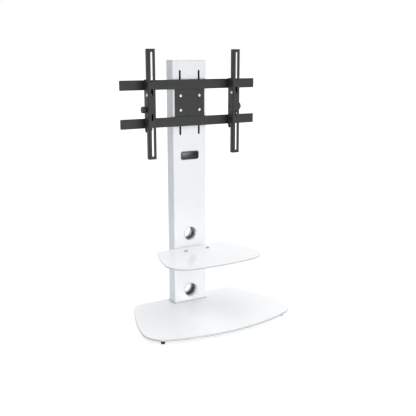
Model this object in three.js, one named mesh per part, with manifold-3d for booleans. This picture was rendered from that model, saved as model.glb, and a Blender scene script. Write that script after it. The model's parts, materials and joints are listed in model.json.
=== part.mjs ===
// Floor stand for a television: a glass base and shelf, a column that hides the cables, and a mount
// with sliding, tilting arms. Millimetres, +Z up, +X to the viewer's right, +Y to the back.
// The origin is on the floor, under the centre of the base glass.
import * as THREE from 'three';
import { mergeVertices } from 'three/addons/utils/BufferGeometryUtils.js';
import Module from 'manifold-3d';

const wasm = await Module();
wasm.setup();

// Clearances
const seatGap = 0.3;            // between pieces that seat or slide on each other
const cutOver = 1;              // a cutting tool runs this far past the face it cuts

// Base glass
const baseWidth = 692;
const baseDepth = 448;
const baseThick = 8;
const baseFrontRadius = 843;
const baseSideRadius = 933;
const baseFrontCorner = 96;
const baseRearCorner = 47;
const baseRearEdge = 430;       // straight part of the rear edge

// Levelling feet and their bonded sockets
const footHeight = 20;          // floor to the underside of the base glass
const footRadius = 9;
const footInset = 29;           // base edge to foot centre
const footFrontAngle = 56;      // degrees, direction of the front feet round the corner's centre
const footRearAngle = 45;
const footSocketHeight = 9;
const footStemRadius = 4;
const footChamfer = 1.5;

// Column
const columnWidth = 160;
const columnDepth = 56;
const columnTop = 1090;
const columnSetback = 15;       // column's back to the base's rear edge
const sheetThick = 2;           // folded sheet of the front panel and the rear covers
const sheetReturn = 19;         // depth of the side returns
const sheetCorner = 3;          // outside radius of the folds
const bandGap = 0.5;            // joint lines beside the post's visible band
const coverSplit = 561;         // height of the joint between the two rear covers
const coverGap = 2;
const ribThick = 1.5;           // ribs inside a cover that grip the posts
const ribReach = 9;

// Column gasket, foot plate, posts and top cap
const gasketThick = 2;
const gasketMargin = 3;
const gasketCorner = 5;
const footPlateThick = 6;
const postWall = 2.5;
const postFlange = 20;
const postEdge = 1;             // bevel that clears the inside of the sheets' folds
const capThick = 3;
const capPlugDepth = 10;
const capPlugWall = 2;
const capCorner = 4;

// Clamp under the base
const clampThick = 3;
const clampWidth = 156;
const clampDepth = 52;
const clampCorner = 6;
const clampBoltSpacingX = 120;
const clampBoltSpacingY = 30;
const boltRadius = 4;
const boltHeadRadius = 7;
const boltHeadHeight = 4.5;
const boltSocketRadius = 2.6;
const boltSocketDepth = 2.5;
const glassHoleRadius = 6;
const buttonTopShare = 0.62;    // flat top of a screw's head, of its radius
const buttonRimShare = 0.35;    // height of its rim, of the head's height

// Cable ports
const portRadius = 30;          // hole in the sheet
const portAboveBase = 52;       // base glass to the lower port's centre
const portAboveShelf = 60;      // shelf glass to the upper port's centre
const ringRadius = 32;
const ringLip = 3;              // how far the bezel stands out
const ringBore = 28;
const ringWall = 1.7;
const ringSleeve = 12;          // sheet's face to the end of the ring's sleeve

// Cable outlet behind the screen
const outletWidth = 80;
const outletHeight = 30;
const outletCentre = 690;
const outletFlange = 3;
const outletFlangeThick = 1.7;
const outletWall = 1.7;
const outletCorner = 6;
const outletSleeve = 6;

// Shelf glass
const shelfWidth = 442;
const shelfDepth = 295;
const shelfThick = 6;
const shelfTop = 282;
const shelfRearGap = 1;
const shelfFrontRadius = 969;
const shelfSideRadius = 945;
const shelfFrontCorner = 91;
const shelfRearCorner = 35;
const shelfRearEdge = 286;

// Shelf bracket and its fasteners
const bracketWidth = 140;
const bracketThick = 3;
const bracketReach = 90;
const bracketDrop = 76;
const bracketCorner = 8;
const gussetThick = 3;
const gussetSpacing = 72;
const gussetShare = 0.86;       // of the bracket's reach and drop
const shelfPadThick = 2;
const shelfPadWidth = 30;
const shelfPadLength = 50;
const shelfPadCorner = 5;
const capScrewSpacing = 108;
const capScrewReach = 59;       // column face to the screw
const capScrewRadius = 4;
const capScrewLength = 20;      // below the shelf's top
const capHeadRadius = 8;
const capHeadHeight = 7;
const capHeadRim = 2.5;
const nutRadius = 7.5;
const nutHeight = 5;
const shelfScrewSpacingX = 100;
const shelfScrewSpacingZ = 40;
const shelfScrewDrop = 44;      // bracket top to the middle of the screw pattern
const shelfScrewRadius = 3;
const shelfScrewHeadRadius = 5.5;
const shelfScrewHeadHeight = 3.3;
const shelfScrewSocketRadius = 2;
const shelfScrewTip = 5;        // beyond the plate it screws into

// Plates inside the column
const innerPlateThick = 4;
const innerPlateWidth = 144;
const shelfPlateMargin = 10;    // beyond the bracket's screws, above and below
const mountPlateMargin = 18;    // beyond the slots, above and below

// Mount on the column
const mountHeight = 914;        // centre of the mount at rest
const mountTravel = 100;        // each way
const mountWidth = 140;
const mountTall = 194;
const mountThick = 4;
const mountCorner = 10;
const mountBoltSpacingX = 90;
const mountBoltSpacingZ = 60;
const slotPlay = 0.5;           // slot's half width beyond the bolt's radius
const slotEndPlay = 1;
const nutBarHeight = 16;
const nutBarThick = 6;
const nutBarMargin = 10;        // beyond the bolts at each end
const mountBoltTip = 1;         // bolt's end beyond the nut bar
const railLength = 640;
const railHeight = 40;
const railThick = 3;
const railCorner = 4;

// Arms
const armSpacing = 400;
const armWidth = 34;
const armDepth = 20;
const armThick = 2.5;
const armLength = 440;
const armEndCorner = 5;
const pivotHeight = 40;         // above the mount's centre
const pivotBack = 12;           // arm's front face to the pivot
const pivotStandoff = 32.9;     // pivot to the front of the hook bracket's back
const pinRadius = 4;
const pinHeadRadius = 7;
const pinHeadHeight = 2.5;
const pinFaceShare = 0.84;      // flat face of the pin's head, of its radius
const screenSlotWidth = 8.4;    // slots for the screen's screws
const longSlotLength = 118;
const longSlotMargin = 12;      // arm's end to the slot's end
const shortSlotLength = 28;
const shortSlotOffset = 50;     // mount's centre to the slot's middle

// Tilt lock
const tiltForward = 10;         // degrees
const tiltBackward = 5;
const lockDrop = 60;            // below the pivot
const lockBack = 16;            // behind the pivot
const lockRadius = 3;
const lugRadius = 8;
const lugFoot = 16;             // lock to the lug's end on the arm
const lugSpread = 60;           // degrees of the lug's round end, each way
const knobRadius = 15;
const knobLobe = 1.6;
const knobLobes = 6;
const knobLobeSteps = 8;        // points round one lobe
const knobThick = 14;
const knobCollar = 8;
const knobCollarThick = 3;
const lockStudTip = 3;

// Hook bracket
const hookThick = 2.5;
const hookSide = 0.3;           // bracket's ear to the arm's side
const hookOver = 12;            // hook's reach down behind the upper rail
const hookTail = 17;            // below the lower rail
const earNose = 9;
const noseRise = 30;            // degrees left out of the nose's half turn, at each end
const earFootBack = 22;         // ear's front edge behind the pivot, at its foot
const earFootRise = 8;          // ear's foot above the bracket's end
const earWaistBack = 3;
const earWaistShare = 1.08;     // of the lock's drop
const earTopBack = 12;
const safetyRadius = 2.5;
const safetyHeadRadius = 4.75;
const safetyHeadHeight = 3;
const safetySocketRadius = 1.6;
const safetyTip = 3;

// Facets, in degrees and in counts
const quarterTurn = 90;
const halfTurn = 180;
const fullTurn = 360;
const arcStep = 6;              // one step of a drawn arc
const edgeStep = 2;             // of a glass plate's long edges
const cornerStep = 30;
const bezelStep = 36;
const domeStep = 22.5;
const lockStep = 3;
const mergeShare = 0.1;         // of the seat gap: points of an outline closer than this are one
const sidesSmall = 12;
const sidesMedium = 20;
const sidesLarge = 32;
const sidesHex = 6;

// Places worked out from the sizes above
const baseBottom = footHeight;
const baseTop = baseBottom + baseThick;
const columnBack = baseDepth / 2 - columnSetback;
const columnFront = columnBack - columnDepth;
const columnMid = (columnFront + columnBack) / 2;
const portLowHeight = baseTop + portAboveBase;
const portHighHeight = shelfTop + portAboveShelf;
const gasketTop = baseTop + gasketThick;
const sheetFoot = gasketTop + seatGap;
const capFoot = columnTop - capThick;
const sheetTop = capFoot - seatGap;
const footPlateTop = gasketTop + footPlateThick;
const postOuter = columnWidth / 2 - sheetThick - seatGap;
const postFront = columnFront + sheetThick + seatGap;
const postBack = columnBack - sheetThick - seatGap;
const innerPlateFront = postFront + postWall + seatGap;
const innerPlateBack = innerPlateFront + innerPlateThick;
const shelfBottom = shelfTop - shelfThick;
const bracketTop = shelfBottom - shelfPadThick;
const shelfScrewHeight = bracketTop - shelfScrewDrop;
const capScrewY = columnFront - capScrewReach;
const mountBack = columnFront - seatGap;
const mountFront = mountBack - mountThick;
const railFront = mountFront - railThick;
const railOffset = (mountTall - railHeight) / 2;
const hookFront = railFront - seatGap - hookThick;
const pivotY = hookFront - pivotStandoff;
const pivotZ = mountHeight + pivotHeight;
const slotHalfLength = mountBoltSpacingZ / 2 + mountTravel + boltRadius + slotEndPlay;
const slotHalfWidth = boltRadius + slotPlay;

// Finishes
const finishes = {
  whiteGlass: { color: 0xf0f2f2, roughness: 0.08, metalness: 0 },
  whitePaint: { color: 0xf1f2f3, roughness: 0.4, metalness: 0 },
  coolWhite: { color: 0xe4e8ea, roughness: 0.4, metalness: 0 },
  chrome: { color: 0xd9dcdf, roughness: 0.08, metalness: 1 },
  blackSteel: { color: 0x1c1d1f, roughness: 0.5, metalness: 0.2 },
  zincSteel: { color: 0xb4b8bc, roughness: 0.35, metalness: 1 },
  blackPlastic: { color: 0x161617, roughness: 0.55, metalness: 0 },
  greyRubber: { color: 0x8f9498, roughness: 0.8, metalness: 0 },
  blackRubber: { color: 0x101011, roughness: 0.85, metalness: 0 },
};

// A closed geometry as a solid, with its faces turned outward.
function solid(geometry) {
  const bare = geometry.clone();
  bare.deleteAttribute('normal');
  bare.deleteAttribute('uv');
  const merged = mergeVertices(bare);
  const vertProperties = new Float32Array(merged.attributes.position.array);
  const triVerts = new Uint32Array(merged.index.array);
  const body = new wasm.Manifold(new wasm.Mesh({ numProp: 3, vertProperties, triVerts }));
  if (body.volume() > 0) return body;
  return new wasm.Manifold(new wasm.Mesh({ numProp: 3, vertProperties, triVerts: triVerts.reverse() }));
}

function geometryOf(body) {
  const mesh = body.getMesh();
  const geometry = new THREE.BufferGeometry();
  geometry.setAttribute('position', new THREE.BufferAttribute(mesh.vertProperties, mesh.numProp));
  geometry.setIndex(new THREE.BufferAttribute(mesh.triVerts, 1));
  const faceted = geometry.toNonIndexed();
  faceted.computeVertexNormals();
  return faceted;
}

function join(bodies) {
  return bodies.reduce((whole, body) => whole.add(body));
}

function cut(body, tools) {
  return tools.reduce((rest, tool) => rest.subtract(tool), body);
}

// A block between two corners.
function block(xLow, xHigh, yLow, yHigh, zLow, zHigh) {
  const geometry = new THREE.BoxGeometry(xHigh - xLow, yHigh - yLow, zHigh - zLow);
  geometry.translate((xLow + xHigh) / 2, (yLow + yHigh) / 2, (zLow + zHigh) / 2);
  return solid(geometry);
}

// Outlines are lists of [across, up] points. extrudeZ draws in X, Y; extrudeX in Y, Z; extrudeY in X, Z.
function extrude(points, depth) {
  const shape = new THREE.Shape(points.map(([across, up]) => new THREE.Vector2(across, up)));
  return new THREE.ExtrudeGeometry(shape, { depth, bevelEnabled: false });
}

function extrudeZ(points, low, high) {
  return solid(extrude(points, high - low).translate(0, 0, low));
}

function extrudeX(points, low, high) {
  const turn = new THREE.Matrix4().makeBasis(
    new THREE.Vector3(0, 1, 0),
    new THREE.Vector3(0, 0, 1),
    new THREE.Vector3(1, 0, 0),
  );
  return solid(extrude(points, high - low).applyMatrix4(turn).translate(low, 0, 0));
}

function extrudeY(points, low, high) {
  return solid(extrude(points, high - low).rotateX(Math.PI / 2).translate(0, high, 0));
}

// Turns a shape drawn round Y so that it is round the named axis, then moves it to its centre.
function aim(geometry, axis, centre) {
  if (axis === 'z') geometry.rotateX(Math.PI / 2);
  if (axis === 'x') geometry.rotateZ(-Math.PI / 2);
  return geometry.translate(centre[0], centre[1], centre[2]);
}

// A round bar from low to high along an axis, through a centre point.
function rod(axis, radius, low, high, centre, sides = sidesSmall) {
  const geometry = new THREE.CylinderGeometry(radius, radius, high - low, sides);
  geometry.translate(0, (low + high) / 2, 0);
  return solid(aim(geometry, axis, centre));
}

// A turned body: profile points are [radius, place along the axis].
function turned(profile, axis, centre, sides = sidesMedium) {
  const points = profile.map(([radius, along]) => new THREE.Vector2(radius, along));
  return solid(aim(new THREE.LatheGeometry(points, sides), axis, centre));
}

// Points of an arc round a centre, between two directions in degrees.
function arc(centre, radius, from, to, step = arcStep) {
  const count = Math.max(1, Math.ceil(Math.abs(to - from) / step));
  return Array.from({ length: count + 1 }, (unused, i) => {
    const angle = THREE.MathUtils.degToRad(from + ((to - from) * i) / count);
    return [centre[0] + radius * Math.cos(angle), centre[1] + radius * Math.sin(angle)];
  });
}

// A rectangle with round corners, centred on a point.
function roundedBox(width, height, radius, centre = [0, 0]) {
  const x = width / 2 - radius;
  const y = height / 2 - radius;
  return [
    ...arc([centre[0] + x, centre[1] + y], radius, 0, quarterTurn, cornerStep),
    ...arc([centre[0] - x, centre[1] + y], radius, quarterTurn, halfTurn, cornerStep),
    ...arc([centre[0] - x, centre[1] - y], radius, -halfTurn, -quarterTurn, cornerStep),
    ...arc([centre[0] + x, centre[1] - y], radius, -quarterTurn, 0, cornerStep),
  ];
}

// An upright slot with round ends.
function slot(x, zLow, zHigh, halfWidth) {
  return [
    ...arc([x, zHigh - halfWidth], halfWidth, 0, halfTurn, cornerStep),
    ...arc([x, zLow + halfWidth], halfWidth, halfTurn, fullTurn, cornerStep),
  ];
}

function slotTool(x, zLow, zHigh, halfWidth, yLow, yHigh) {
  return extrudeY(slot(x, zLow, zHigh, halfWidth), yLow, yHigh);
}

const pairs = [['left', -1], ['right', 1]];
const root = new THREE.Group();

function addPiece(name, body, finish, place = [0, 0, 0], parent = root) {
  const mesh = new THREE.Mesh(geometryOf(body), new THREE.MeshStandardMaterial(finishes[finish]));
  mesh.name = name;
  mesh.position.set(...place);
  parent.add(mesh);
  return mesh;
}

// Direction in degrees from one point to another.
function heading(from, to) {
  return THREE.MathUtils.radToDeg(Math.atan2(to[1] - from[1], to[0] - from[0]));
}

// Outline of a glass plate with a straight rear edge and three bowed edges. Its four corner arcs and
// three edge arcs run into each other without a kink. Returns the points and two corner centres.
function glassOutline(size) {
  const frontCentre = [0, size.front + size.frontRadius];
  const cornerX = size.width / 2 - size.frontCorner;
  const cornerRun = size.frontRadius - size.frontCorner;
  const frontCorner = [cornerX, frontCentre[1] - Math.sqrt(cornerRun ** 2 - cornerX ** 2)];
  const rearCorner = [size.rearEdge / 2, size.rear - size.rearCorner];
  const gap = [rearCorner[0] - frontCorner[0], rearCorner[1] - frontCorner[1]];
  const apart = Math.hypot(gap[0], gap[1]);
  const reachFront = size.sideRadius - size.frontCorner;
  const reachRear = size.sideRadius - size.rearCorner;
  const along = (reachFront ** 2 - reachRear ** 2 + apart ** 2) / (2 * apart);
  const aside = Math.sqrt(reachFront ** 2 - along ** 2);
  const sideCentre = [
    frontCorner[0] + (gap[0] * along - gap[1] * aside) / apart,
    frontCorner[1] + (gap[1] * along + gap[0] * aside) / apart,
  ];
  const frontTurn = heading(frontCentre, frontCorner);
  const sideStart = heading(sideCentre, frontCorner);
  const sideEnd = heading(sideCentre, rearCorner);
  const half = [
    ...arc(frontCentre, size.frontRadius, -quarterTurn, frontTurn, edgeStep),
    ...arc(frontCorner, size.frontCorner, frontTurn, sideStart),
    ...arc(sideCentre, size.sideRadius, sideStart, sideEnd, edgeStep),
    ...arc(rearCorner, size.rearCorner, sideEnd, quarterTurn),
  ];
  const apartEnough = seatGap * mergeShare;
  const points = half.filter((p, i) => {
    return i === 0 || Math.hypot(p[0] - half[i - 1][0], p[1] - half[i - 1][1]) > apartEnough;
  });
  const mirrored = points.slice(1).reverse().map(([x, y]) => [-x, y]);
  return { points: [...points, ...mirrored], frontCorner, rearCorner };
}

// Base glass, with a bolt hole at each corner of the clamp's pattern
const base = glassOutline({
  width: baseWidth,
  front: -baseDepth / 2,
  rear: baseDepth / 2,
  frontRadius: baseFrontRadius,
  sideRadius: baseSideRadius,
  frontCorner: baseFrontCorner,
  rearCorner: baseRearCorner,
  rearEdge: baseRearEdge,
});
const clampBolts = [];
for (const [rank, sy] of [['front', -1], ['rear', 1]]) {
  for (const [side, sx] of pairs) {
    const x = (sx * clampBoltSpacingX) / 2;
    const y = columnMid + (sy * clampBoltSpacingY) / 2;
    clampBolts.push({ name: `${rank}_${side}`, place: [x, y, 0] });
  }
}

function clampHoles(radius, low, high) {
  return clampBolts.map(({ place }) => rod('z', radius, low - cutOver, high + cutOver, place));
}

const baseGlass = extrudeZ(base.points, baseBottom, baseTop);
addPiece('base_glass', cut(baseGlass, clampHoles(glassHoleRadius, baseBottom, baseTop)), 'whiteGlass');

// Feet: a threaded socket bonded under the glass, and a foot whose stem screws into it
function footPlace(corner, radius, sideSign, angle) {
  const turn = THREE.MathUtils.degToRad(angle);
  const reach = radius - footInset;
  return [sideSign * (corner[0] + reach * Math.cos(turn)), corner[1] + reach * Math.sin(turn), 0];
}

const socketFoot = footHeight - footSocketHeight;
const stemTop = footHeight - seatGap;
const padTop = socketFoot - seatGap;
const footSocket = cut(
  turned([
    [0, socketFoot],
    [footRadius, socketFoot],
    [footRadius, footHeight - footChamfer / 2],
    [footRadius - footChamfer / 2, footHeight],
    [0, footHeight],
  ], 'z', [0, 0, 0]),
  [rod('z', footStemRadius + seatGap, socketFoot - cutOver, footHeight + cutOver, [0, 0, 0])],
);
const footBody = turned([
  [0, 0],
  [footRadius - footChamfer, 0],
  [footRadius, footChamfer],
  [footRadius, padTop - footChamfer / 2],
  [footRadius - footChamfer / 2, padTop],
  [footStemRadius, padTop],
  [footStemRadius, stemTop],
  [0, stemTop],
], 'z', [0, 0, 0]);
for (const [side, sx] of pairs) {
  const front = footPlace(base.frontCorner, baseFrontCorner, sx, -footFrontAngle);
  const rear = footPlace(base.rearCorner, baseRearCorner, sx, footRearAngle);
  for (const [rank, place] of [['front', front], ['rear', rear]]) {
    addPiece(`foot_socket_${rank}_${side}`, footSocket, 'blackSteel', place);
    addPiece(`foot_${rank}_${side}`, footBody, 'blackRubber', place);
  }
}

// A round-headed screw along its axis, head at the low end, with a socket in its head
function screw(size) {
  const head = turned([
    [0, -size.headHeight],
    [size.headRadius * buttonTopShare, -size.headHeight],
    [size.headRadius, -size.headHeight * buttonRimShare],
    [size.headRadius, 0],
    [size.radius, 0],
    [size.radius, size.length],
    [0, size.length],
  ], size.axis, [0, 0, 0], sidesSmall);
  const lowEnd = -size.headHeight - cutOver;
  const socketEnd = -size.headHeight + size.socketDepth;
  return cut(head, [rod(size.axis, size.socketRadius, lowEnd, socketEnd, [0, 0, 0], sidesHex)]);
}

// Clamp plate under the glass and its four bolts
const clampBottom = baseBottom - clampThick;
const clampOutline = roundedBox(clampWidth, clampDepth, clampCorner, [0, columnMid]);
const clampPlate = extrudeZ(clampOutline, clampBottom, baseBottom);
addPiece(
  'base_clamp_plate',
  cut(clampPlate, clampHoles(boltRadius + seatGap, clampBottom, baseBottom)),
  'blackSteel',
);
const baseBolt = screw({
  axis: 'z',
  radius: boltRadius,
  length: footPlateTop - clampBottom - seatGap,
  headRadius: boltHeadRadius,
  headHeight: boltHeadHeight,
  socketRadius: boltSocketRadius,
  socketDepth: boltSocketDepth,
});
for (const { name, place } of clampBolts) {
  addPiece(`base_bolt_${name}`, baseBolt, 'zincSteel', [place[0], place[1], clampBottom]);
}

// Gasket and foot plate of the column
const gasketOutline = roundedBox(
  columnWidth + 2 * gasketMargin,
  columnDepth + 2 * gasketMargin,
  gasketCorner,
  [0, columnMid],
);
const gasket = extrudeZ(gasketOutline, baseTop, gasketTop);
addPiece('column_gasket', cut(gasket, clampHoles(glassHoleRadius, baseTop, gasketTop)), 'greyRubber');
const plateInset = sheetThick + seatGap;
const footPlate = block(
  -columnWidth / 2 + plateInset,
  columnWidth / 2 - plateInset,
  columnFront + plateInset,
  columnBack - plateInset,
  gasketTop,
  footPlateTop,
);
addPiece(
  'column_foot_plate',
  cut(footPlate, clampHoles(boltRadius + seatGap, gasketTop, footPlateTop)),
  'blackSteel',
);

// Posts: open channels whose proud band fills the space between front panel and rear covers.
// The band runs on down past the foot plate's edge.
const bandFront = columnFront + sheetReturn + bandGap;
const bandBack = columnBack - sheetReturn - bandGap;
for (const [side, sx] of pairs) {
  const outline = [
    [postOuter - postEdge, postFront],
    [postOuter, postFront + postEdge],
    [postOuter, bandFront],
    [columnWidth / 2, bandFront],
    [columnWidth / 2, bandBack],
    [postOuter, bandBack],
    [postOuter, postBack - postEdge],
    [postOuter - postEdge, postBack],
    [postOuter - postFlange, postBack],
    [postOuter - postFlange, postBack - postWall],
    [postOuter - postWall, postBack - postWall],
    [postOuter - postWall, postFront + postWall],
    [postOuter - postFlange, postFront + postWall],
    [postOuter - postFlange, postFront],
  ];
  const channel = extrudeZ(outline.map(([x, y]) => [sx * x, y]), footPlateTop, sheetTop);
  const skirtX = [sx * (postOuter + seatGap), (sx * columnWidth) / 2].sort((a, b) => a - b);
  const skirtTop = footPlateTop + postWall;
  const skirt = block(skirtX[0], skirtX[1], bandFront, bandBack, sheetFoot, skirtTop);
  addPiece(`post_${side}`, join([channel, skirt]), 'coolWhite');
}

// Places of the screws through the front panel
function pattern(spacingX, spacingZ, middle) {
  const places = [];
  for (const [rank, sz] of [['lower', -1], ['upper', 1]]) {
    for (const [side, sx] of pairs) {
      places.push({ name: `${rank}_${side}`, x: (sx * spacingX) / 2, z: middle + (sz * spacingZ) / 2 });
    }
  }
  return places;
}
const shelfScrews = pattern(shelfScrewSpacingX, shelfScrewSpacingZ, shelfScrewHeight);
const mountBolts = pattern(mountBoltSpacingX, mountBoltSpacingZ, mountHeight);

function throughY(places, radius, low, high) {
  return places.map(({ x, z }) => rod('y', radius, low - cutOver, high + cutOver, [x, 0, z]));
}

function mountSlots(low, high) {
  const slotLow = mountHeight - slotHalfLength;
  const slotHigh = mountHeight + slotHalfLength;
  return pairs.map(([, sx]) => {
    const x = (sx * mountBoltSpacingX) / 2;
    return slotTool(x, slotLow, slotHigh, slotHalfWidth, low - cutOver, high + cutOver);
  });
}

// Folded sheet: a wide face with two side returns. sign is -1 for a front sheet, 1 for a rear one.
function sheetOutline(face, sign) {
  const half = columnWidth / 2;
  const edge = face - sign * sheetReturn;
  const inner = sheetCorner - sheetThick;
  const corner = [half - sheetCorner, face - sign * sheetCorner];
  const outerArc = arc(corner, sheetCorner, 0, sign * quarterTurn, cornerStep);
  const innerArc = arc(corner, inner, sign * quarterTurn, 0, cornerStep);
  const right = [[half, edge], ...outerArc];
  const insideRight = [...innerArc, [half - sheetThick, edge]];
  const left = right.map(([x, y]) => [-x, y]).reverse();
  const insideLeft = insideRight.map(([x, y]) => [-x, y]).reverse();
  return [...right, ...left, ...insideLeft, ...insideRight];
}

const ports = [['lower', portLowHeight], ['upper', portHighHeight]];

function portHoles(heights, low, high) {
  return heights.map((z) => rod('y', portRadius, low - cutOver, high + cutOver, [0, 0, z], sidesLarge));
}

// Front panel with its ports, bracket screw holes, mount slots and cable outlet
const panelBack = columnFront + sheetThick;
const outletHole = roundedBox(outletWidth, outletHeight, outletCorner, [0, outletCentre]);
addPiece(
  'column_front_panel',
  cut(extrudeZ(sheetOutline(columnFront, -1), sheetFoot, sheetTop), [
    ...portHoles([portLowHeight, portHighHeight], columnFront, panelBack),
    ...throughY(shelfScrews, shelfScrewRadius + seatGap, columnFront, panelBack),
    ...mountSlots(columnFront, panelBack),
    extrudeY(outletHole, columnFront - cutOver, panelBack + cutOver),
  ]),
  'whitePaint',
);

// Rear covers, each with two ribs that grip the posts' rear flanges
const coverFront = columnBack - sheetThick;
const ribOuter = postOuter - postFlange - seatGap;
function rearCover(low, high) {
  const ribLow = Math.max(low, footPlateTop + seatGap);
  const ribs = pairs.map(([, sx]) => {
    const edges = [sx * ribOuter, sx * (ribOuter - ribThick)].sort((a, b) => a - b);
    return block(edges[0], edges[1], coverFront - ribReach, coverFront + sheetThick / 2, ribLow, high);
  });
  return join([extrudeZ(sheetOutline(columnBack, 1), low, high), ...ribs]);
}
const lowerCover = rearCover(sheetFoot, coverSplit - coverGap / 2);
addPiece(
  'rear_cover_lower',
  cut(lowerCover, portHoles([portLowHeight, portHighHeight], coverFront, columnBack)),
  'whitePaint',
);
addPiece('rear_cover_upper', rearCover(coverSplit + coverGap / 2, sheetTop), 'whitePaint');

// Top cap with a hollow plug that fits between the posts
const capPlate = extrudeZ(
  roundedBox(columnWidth, columnDepth, capCorner, [0, columnMid]),
  capFoot,
  columnTop,
);
const plugHalf = ribOuter - ribThick - seatGap;
const plugFront = postFront + postWall + seatGap;
const plugBack = coverFront - ribReach - seatGap;
const plug = cut(
  block(-plugHalf, plugHalf, plugFront, plugBack, capFoot - capPlugDepth, capFoot + capThick / 2),
  [block(
    -plugHalf + capPlugWall,
    plugHalf - capPlugWall,
    plugFront + capPlugWall,
    plugBack - capPlugWall,
    capFoot - capPlugDepth - cutOver,
    capFoot,
  )],
);
addPiece('column_top_cap', join([capPlate, plug]), 'whitePaint');

// Plates welded behind the posts' front flanges: one for the shelf bracket, one for the mount
const shelfPlateHalf = shelfScrewSpacingZ / 2 + shelfPlateMargin;
const shelfPlate = block(
  -innerPlateWidth / 2,
  innerPlateWidth / 2,
  innerPlateFront,
  innerPlateBack,
  shelfScrewHeight - shelfPlateHalf,
  shelfScrewHeight + shelfPlateHalf,
);
addPiece(
  'column_shelf_plate',
  cut(shelfPlate, throughY(shelfScrews, shelfScrewRadius + seatGap, innerPlateFront, innerPlateBack)),
  'blackSteel',
);
const mountPlateHalf = slotHalfLength + mountPlateMargin;
const innerMountPlate = block(
  -innerPlateWidth / 2,
  innerPlateWidth / 2,
  innerPlateFront,
  innerPlateBack,
  mountHeight - mountPlateHalf,
  mountHeight + mountPlateHalf,
);
addPiece(
  'column_mount_plate',
  cut(innerMountPlate, mountSlots(innerPlateFront, innerPlateBack)),
  'blackSteel',
);

// Port rings: a half-round bezel on the sheet and a short sleeve that lines the hole, so that cables
// turn out of the column between the front ring and the rear one. sign is -1 at the front.
function portRing(sign) {
  const middle = (ringBore + ringRadius) / 2;
  const halfLip = (ringRadius - ringBore) / 2;
  const lip = arc([0, 0], 1, halfTurn, 0, bezelStep).map(([across, out]) => {
    return [middle + halfLip * across, sign * (ringLip * out + seatGap)];
  });
  const outer = ringBore + ringWall;
  const end = -sign * ringSleeve;
  const profile = [...lip, [outer, sign * seatGap], [outer, end], [ringBore, end]];
  return turned([...profile, profile[0]], 'y', [0, 0, 0], sidesLarge);
}
for (const [level, height] of ports) {
  addPiece(`port_ring_front_${level}`, portRing(-1), 'chrome', [0, columnFront, height]);
  addPiece(`port_ring_rear_${level}`, portRing(1), 'chrome', [0, columnBack, height]);
}

// Edge guard of the cable outlet
const guardOuter = roundedBox(
  outletWidth + 2 * outletFlange,
  outletHeight + 2 * outletFlange,
  outletCorner + outletFlange,
  [0, outletCentre],
);
const guardSleeve = roundedBox(
  outletWidth - 2 * seatGap,
  outletHeight - 2 * seatGap,
  outletCorner - seatGap,
  [0, outletCentre],
);
const guardBore = roundedBox(
  outletWidth - 2 * (seatGap + outletWall),
  outletHeight - 2 * (seatGap + outletWall),
  outletCorner - seatGap - outletWall,
  [0, outletCentre],
);
const guardFront = columnFront - seatGap - outletFlangeThick;
const guardBack = columnFront + outletSleeve;
addPiece(
  'outlet_grommet',
  cut(
    join([
      extrudeY(guardOuter, guardFront, columnFront - seatGap),
      extrudeY(guardSleeve, guardFront, guardBack),
    ]),
    [extrudeY(guardBore, guardFront - cutOver, guardBack + cutOver)],
  ),
  'blackPlastic',
);

// Shelf glass
const shelf = glassOutline({
  width: shelfWidth,
  front: columnFront - shelfRearGap - shelfDepth,
  rear: columnFront - shelfRearGap,
  frontRadius: shelfFrontRadius,
  sideRadius: shelfSideRadius,
  frontCorner: shelfFrontCorner,
  rearCorner: shelfRearCorner,
  rearEdge: shelfRearEdge,
});
const capScrewPlaces = pairs.map(([side, sx]) => ({ side, x: (sx * capScrewSpacing) / 2 }));

function capScrewHoles(low, high) {
  return capScrewPlaces.map(({ x }) => {
    return rod('z', capScrewRadius + seatGap, low - cutOver, high + cutOver, [x, capScrewY, 0]);
  });
}
addPiece(
  'shelf_glass',
  cut(extrudeZ(shelf.points, shelfBottom, shelfTop), capScrewHoles(shelfBottom, shelfTop)),
  'whiteGlass',
);

// Shelf bracket: a plate under the glass, a flange on the column and two gussets
const bracketBack = columnFront - seatGap;
const bracketLow = bracketTop - bracketDrop;
const bracketFlange = extrudeY(
  roundedBox(bracketWidth, bracketDrop, bracketCorner, [0, (bracketTop + bracketLow) / 2]),
  bracketBack - bracketThick,
  bracketBack,
);
const bracketPlate = extrudeZ(
  roundedBox(bracketWidth, bracketReach, bracketCorner, [0, bracketBack - bracketReach / 2]),
  bracketTop - bracketThick,
  bracketTop,
);
const gussetBack = bracketBack - bracketThick / 2;
const gussetTop = bracketTop - bracketThick / 2;
const gussetLow = bracketTop - bracketDrop * gussetShare;
const gussetFront = bracketBack - bracketReach * gussetShare;
const gussets = pairs.map(([, sx]) => {
  const middle = (sx * gussetSpacing) / 2;
  const triangle = [[gussetBack, gussetTop], [gussetBack, gussetLow], [gussetFront, gussetTop]];
  return extrudeX(triangle, middle - gussetThick / 2, middle + gussetThick / 2);
});
addPiece(
  'shelf_bracket',
  cut(join([bracketFlange, bracketPlate, ...gussets]), [
    ...capScrewHoles(bracketTop - bracketThick, bracketTop),
    ...throughY(shelfScrews, shelfScrewRadius + seatGap, bracketBack - bracketThick, bracketBack),
  ]),
  'blackSteel',
);

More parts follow.
